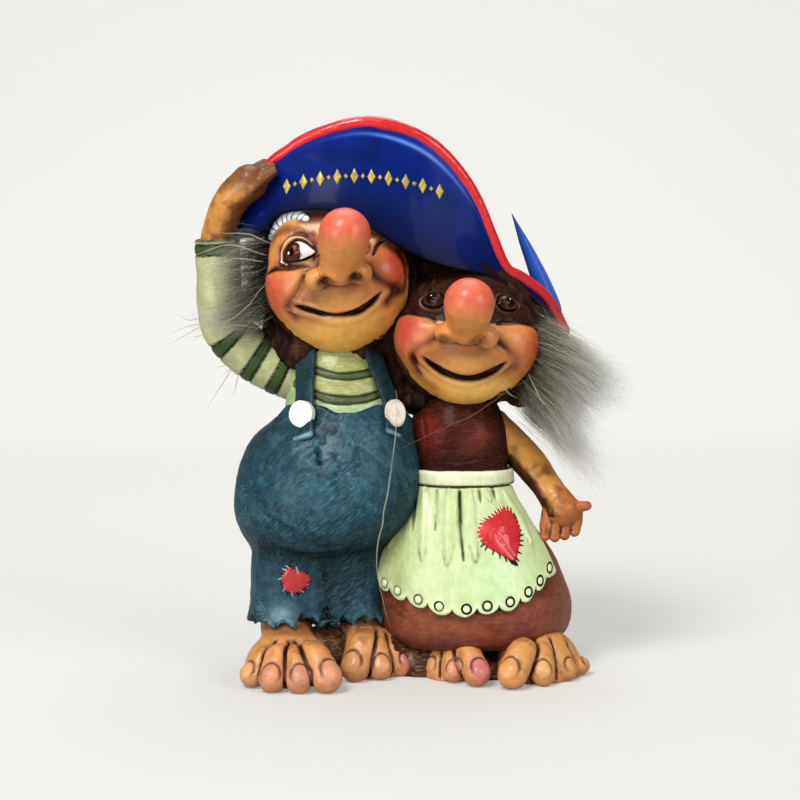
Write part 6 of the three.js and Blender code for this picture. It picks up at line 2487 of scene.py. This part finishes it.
@dataclass
class LooseHairs(Assembly):
    """Single hairs that have come loose from the tufts."""

    hairs: Sequence = (
        (
            (-0.9, -20.6, 79), (-1.2, -23, 66), (-3.5, -26, 50), (-6, -26.5, 36), (-4.8, -22, 24),
            (-2.4, -21.5, 15)
        ),
        ((0.2, -17, 62.5), (10, -14.5, 67), (19, -14, 71), (31, -14, 79), (37, -14, 82.5)),
        ((-35, -16, 107), (-40.5, -17, 100), (-47, -17, 95.5), (-55.5, -16, 91)),
        ((-37.5, -17, 94.3), (-43, -18, 95.2), (-49, -18, 93.4), (-56, -16, 92)),
        ((-33.5, -17, 116.5), (-39, -18, 118.8), (-48.5, -17, 119.6)),
        ((-36, -18, 112), (-44, -18, 112.6), (-54.7, -16, 109.4)),
        ((-35, -18, 113.6), (-45, -18, 116.4), (-54.7, -16, 113.4)),
        ((24, -15, 83), (28, -16, 78), (31, -16, 76)), ((34, -16, 82), (37, -17, 76), (40, -17, 73.5)),
        ((-40, 6.5, 90), (-45, 7, 84), (-50, 7, 77), (-54, 7, 71)),
        ((-41, 6.5, 88), (-47, 7, 82.5), (-50, 7, 80)), ((-41, 6.5, 86), (-45, 7, 80), (-46.5, 7, 74)),
        ((-42, 6.5, 88), (-46, 7, 84), (-52, 7, 82.5)), ((-52, -13, 95), (-57, -13, 92.5), (-62, -13, 90)),
        ((-50, -13, 98), (-56, -13, 96.5), (-60, -13, 98.5)),
        ((-50, -13, 96), (-57, -13, 94.5), (-61, -13, 93))
    )

    def build(self) -> None:
        """Models the hairs as thin bent rods."""
        model = rod("hair", 6, 60, lambda v: np.sin(np.pi * v) ** 0.3, lambda v: v)
        places = []
        for i, marks in enumerate(self.hairs):
            spine = Spine(marks, [0.13, 0.2, 0.16, 0.08], 120, 0.5)
            middle, side, up, radius = spine.frames(model.z)
            middle = middle + 0.3 * columns(noise(middle, 4, 181 + i), 0 * radius, noise(middle, 3, 190 + i))
            places.append(middle + (radius * model.x)[:, None] * side + (radius * model.y)[:, None] * up)
        clay = flock("loose_hairs", model, np.array(places))
        clay.coat("#D8D4C4")
        clay.paint(clay.clouds(6, 200), "#A8A594")
        clay.paint(0.8 * (np.arange(len(clay.at)) * len(self.hairs) // len(clay.at) == 1), "#8A5238")
        self.present(clay, [], Finish.FUR)


# Studio


@dataclass
class Studio:
    """The plain pale floor, soft lights and the camera."""

    background: str = "#EFEEE9"
    glow: tuple[float, float] = (0.165, 0.64)
    albedo: float = 0.55
    sky: float = 0.22
    lens: float = 77.0
    distance: float = 0.47
    aim: float = 0.074
    rise: float = 5.0
    lamps: Sequence[tuple[str, Trio, Trio, float, float]] = (
        ("key", (-0.3, -0.6, 0.8), (0, 0, 0.07), 0.35, 8.5),
        ("fill", (0.6, -0.55, 0.4), (0, 0, 0.07), 0.4, 3.0),
        ("low", (-0.5, -0.6, 0.1), (0, 0, 0.07), 0.4, 3.2), ("top", (0.0, 0.2, 0.8), (0, 0, 0.05), 0.5, 2.5)
    )

    def build(self) -> None:
        """Sets up everything that is not the figurine."""
        self.floor()
        self.lights()
        self.camera()
        bpy.context.scene.view_settings.view_transform = "Standard"

    def floor(self) -> None:
        """A pale sheet, swept up behind, that the camera sees in an even tone."""
        bpy.ops.object.select_all(action="DESELECT")
        bpy.ops.mesh.primitive_grid_add(x_subdivisions=4, y_subdivisions=60, size=2)
        sheet = bpy.context.active_object
        sheet.name = sheet.data.name = "floor"
        at = np.empty(len(sheet.data.vertices) * 3)
        sheet.data.vertices.foreach_get("co", at)
        at = at.reshape(-1, 3)
        run = (at[:, 1] + 1) * 1.5 - 1.4
        bend = np.clip((run - 0.5) / 0.9, 0, 1) * math.pi / 2
        at[:, 1] = np.where(run < 0.5, run, 0.5 + 0.57 * np.sin(bend))
        at[:, 2] = np.where(run < 0.5, 0, 0.57 * (1 - np.cos(bend))) + np.clip(run - 1.4, 0, 9)
        at[:, 0] *= 2
        sheet.data.vertices.foreach_set("co", at.ravel())
        bpy.ops.object.shade_smooth()
        material = bpy.data.materials.new("matt_paper_sheet")
        tree = cleared(material)
        place = node(tree, "TexCoord").outputs["Object"]
        grain = node(tree, "TexNoise", {"Vector": place}, _Scale=900.0, _Detail=2.0)
        tone = node(tree, "MapRange", {"Value": grain}, _To_Min=0.99, _To_Max=1.0)
        shade = node(tree, "VectorMath", {1: tone}, operation="MULTIPLY")
        shade.inputs[0].default_value = colour(self.background)[:3]
        seen = node(tree, "LightPath").outputs["Is Camera Ray"]
        depth = node(tree, "SeparateXYZ", {0: place}).outputs["Y"]
        near_to_far = node(
            tree, "MapRange", {"Value": depth}, _From_Min=-0.25, _From_Max=0.6, _To_Min=self.glow[0],
            _To_Max=self.glow[1]
        )
        glow = node(tree, "Math", {0: seen, 1: near_to_far}, operation="MULTIPLY")
        dim = node(tree, "VectorMath", {0: shade}, operation="MULTIPLY")
        dim.inputs[1].default_value = (self.albedo,) * 3
        paper = node(
            tree, "BsdfPrincipled", {"Base Color": dim, "Emission Color": shade, "Emission Strength": glow},
            _Roughness=1.0, _Specular_IOR_Level=0.0
        )
        node(tree, "OutputMaterial", {"Surface": paper})
        sheet.data.materials.append(material)

    def lights(self) -> None:
        """A big soft key above, two side strips and an even sky."""
        for name, place, aim, size, power in self.lamps:
            lamp = bpy.data.lights.new(name, "AREA")
            lamp.size = size
            lamp.energy = power
            piece = bpy.data.objects.new(name, lamp)
            piece.location = place
            way = np.array(place) - np.array(aim)
            piece.rotation_euler = (
                math.acos(way[2] / np.linalg.norm(way)), 0, math.atan2(way[1], way[0]) + math.pi / 2
            )
            bpy.context.scene.collection.objects.link(piece)
        world = bpy.data.worlds.new("even_sky")
        bpy.context.scene.world = world
        tree = cleared(world)
        seen = node(tree, "LightPath").outputs["Is Camera Ray"]
        strength = node(tree, "MapRange", {"Value": seen}, _To_Min=self.sky, _To_Max=1.0)
        sky = node(tree, "Background", {"Strength": strength}, _Color=colour(self.background))
        node(tree, "OutputWorld", {"Surface": sky})

    def camera(self) -> None:
        """A long lens a little above the middle of the figurine."""
        lens = bpy.data.cameras.new("camera")
        lens.lens = self.lens
        lens.sensor_width = 36
        lens.clip_start, lens.clip_end = 0.05, 20
        piece = bpy.data.objects.new("camera", lens)
        rise = math.radians(self.rise)
        piece.location = (0, -self.distance * math.cos(rise), self.aim + self.distance * math.sin(rise))
        piece.rotation_euler = (math.pi / 2 - rise, 0, 0)
        bpy.context.scene.collection.objects.link(piece)
        bpy.context.scene.camera = piece


def main() -> None:
    """Builds the figurine and the studio."""
    logging.basicConfig(level=logging.INFO, format="%(message)s")
    parts = [
        TallTroll(), ShortTroll(), Hat(), Dungarees(), Dress(), Arms(), *FEET, Ground(), *FUR, LooseHairs(),
        Studio()
    ]
    for part in parts:
        part.build()


if __name__ == "__main__":
    main()
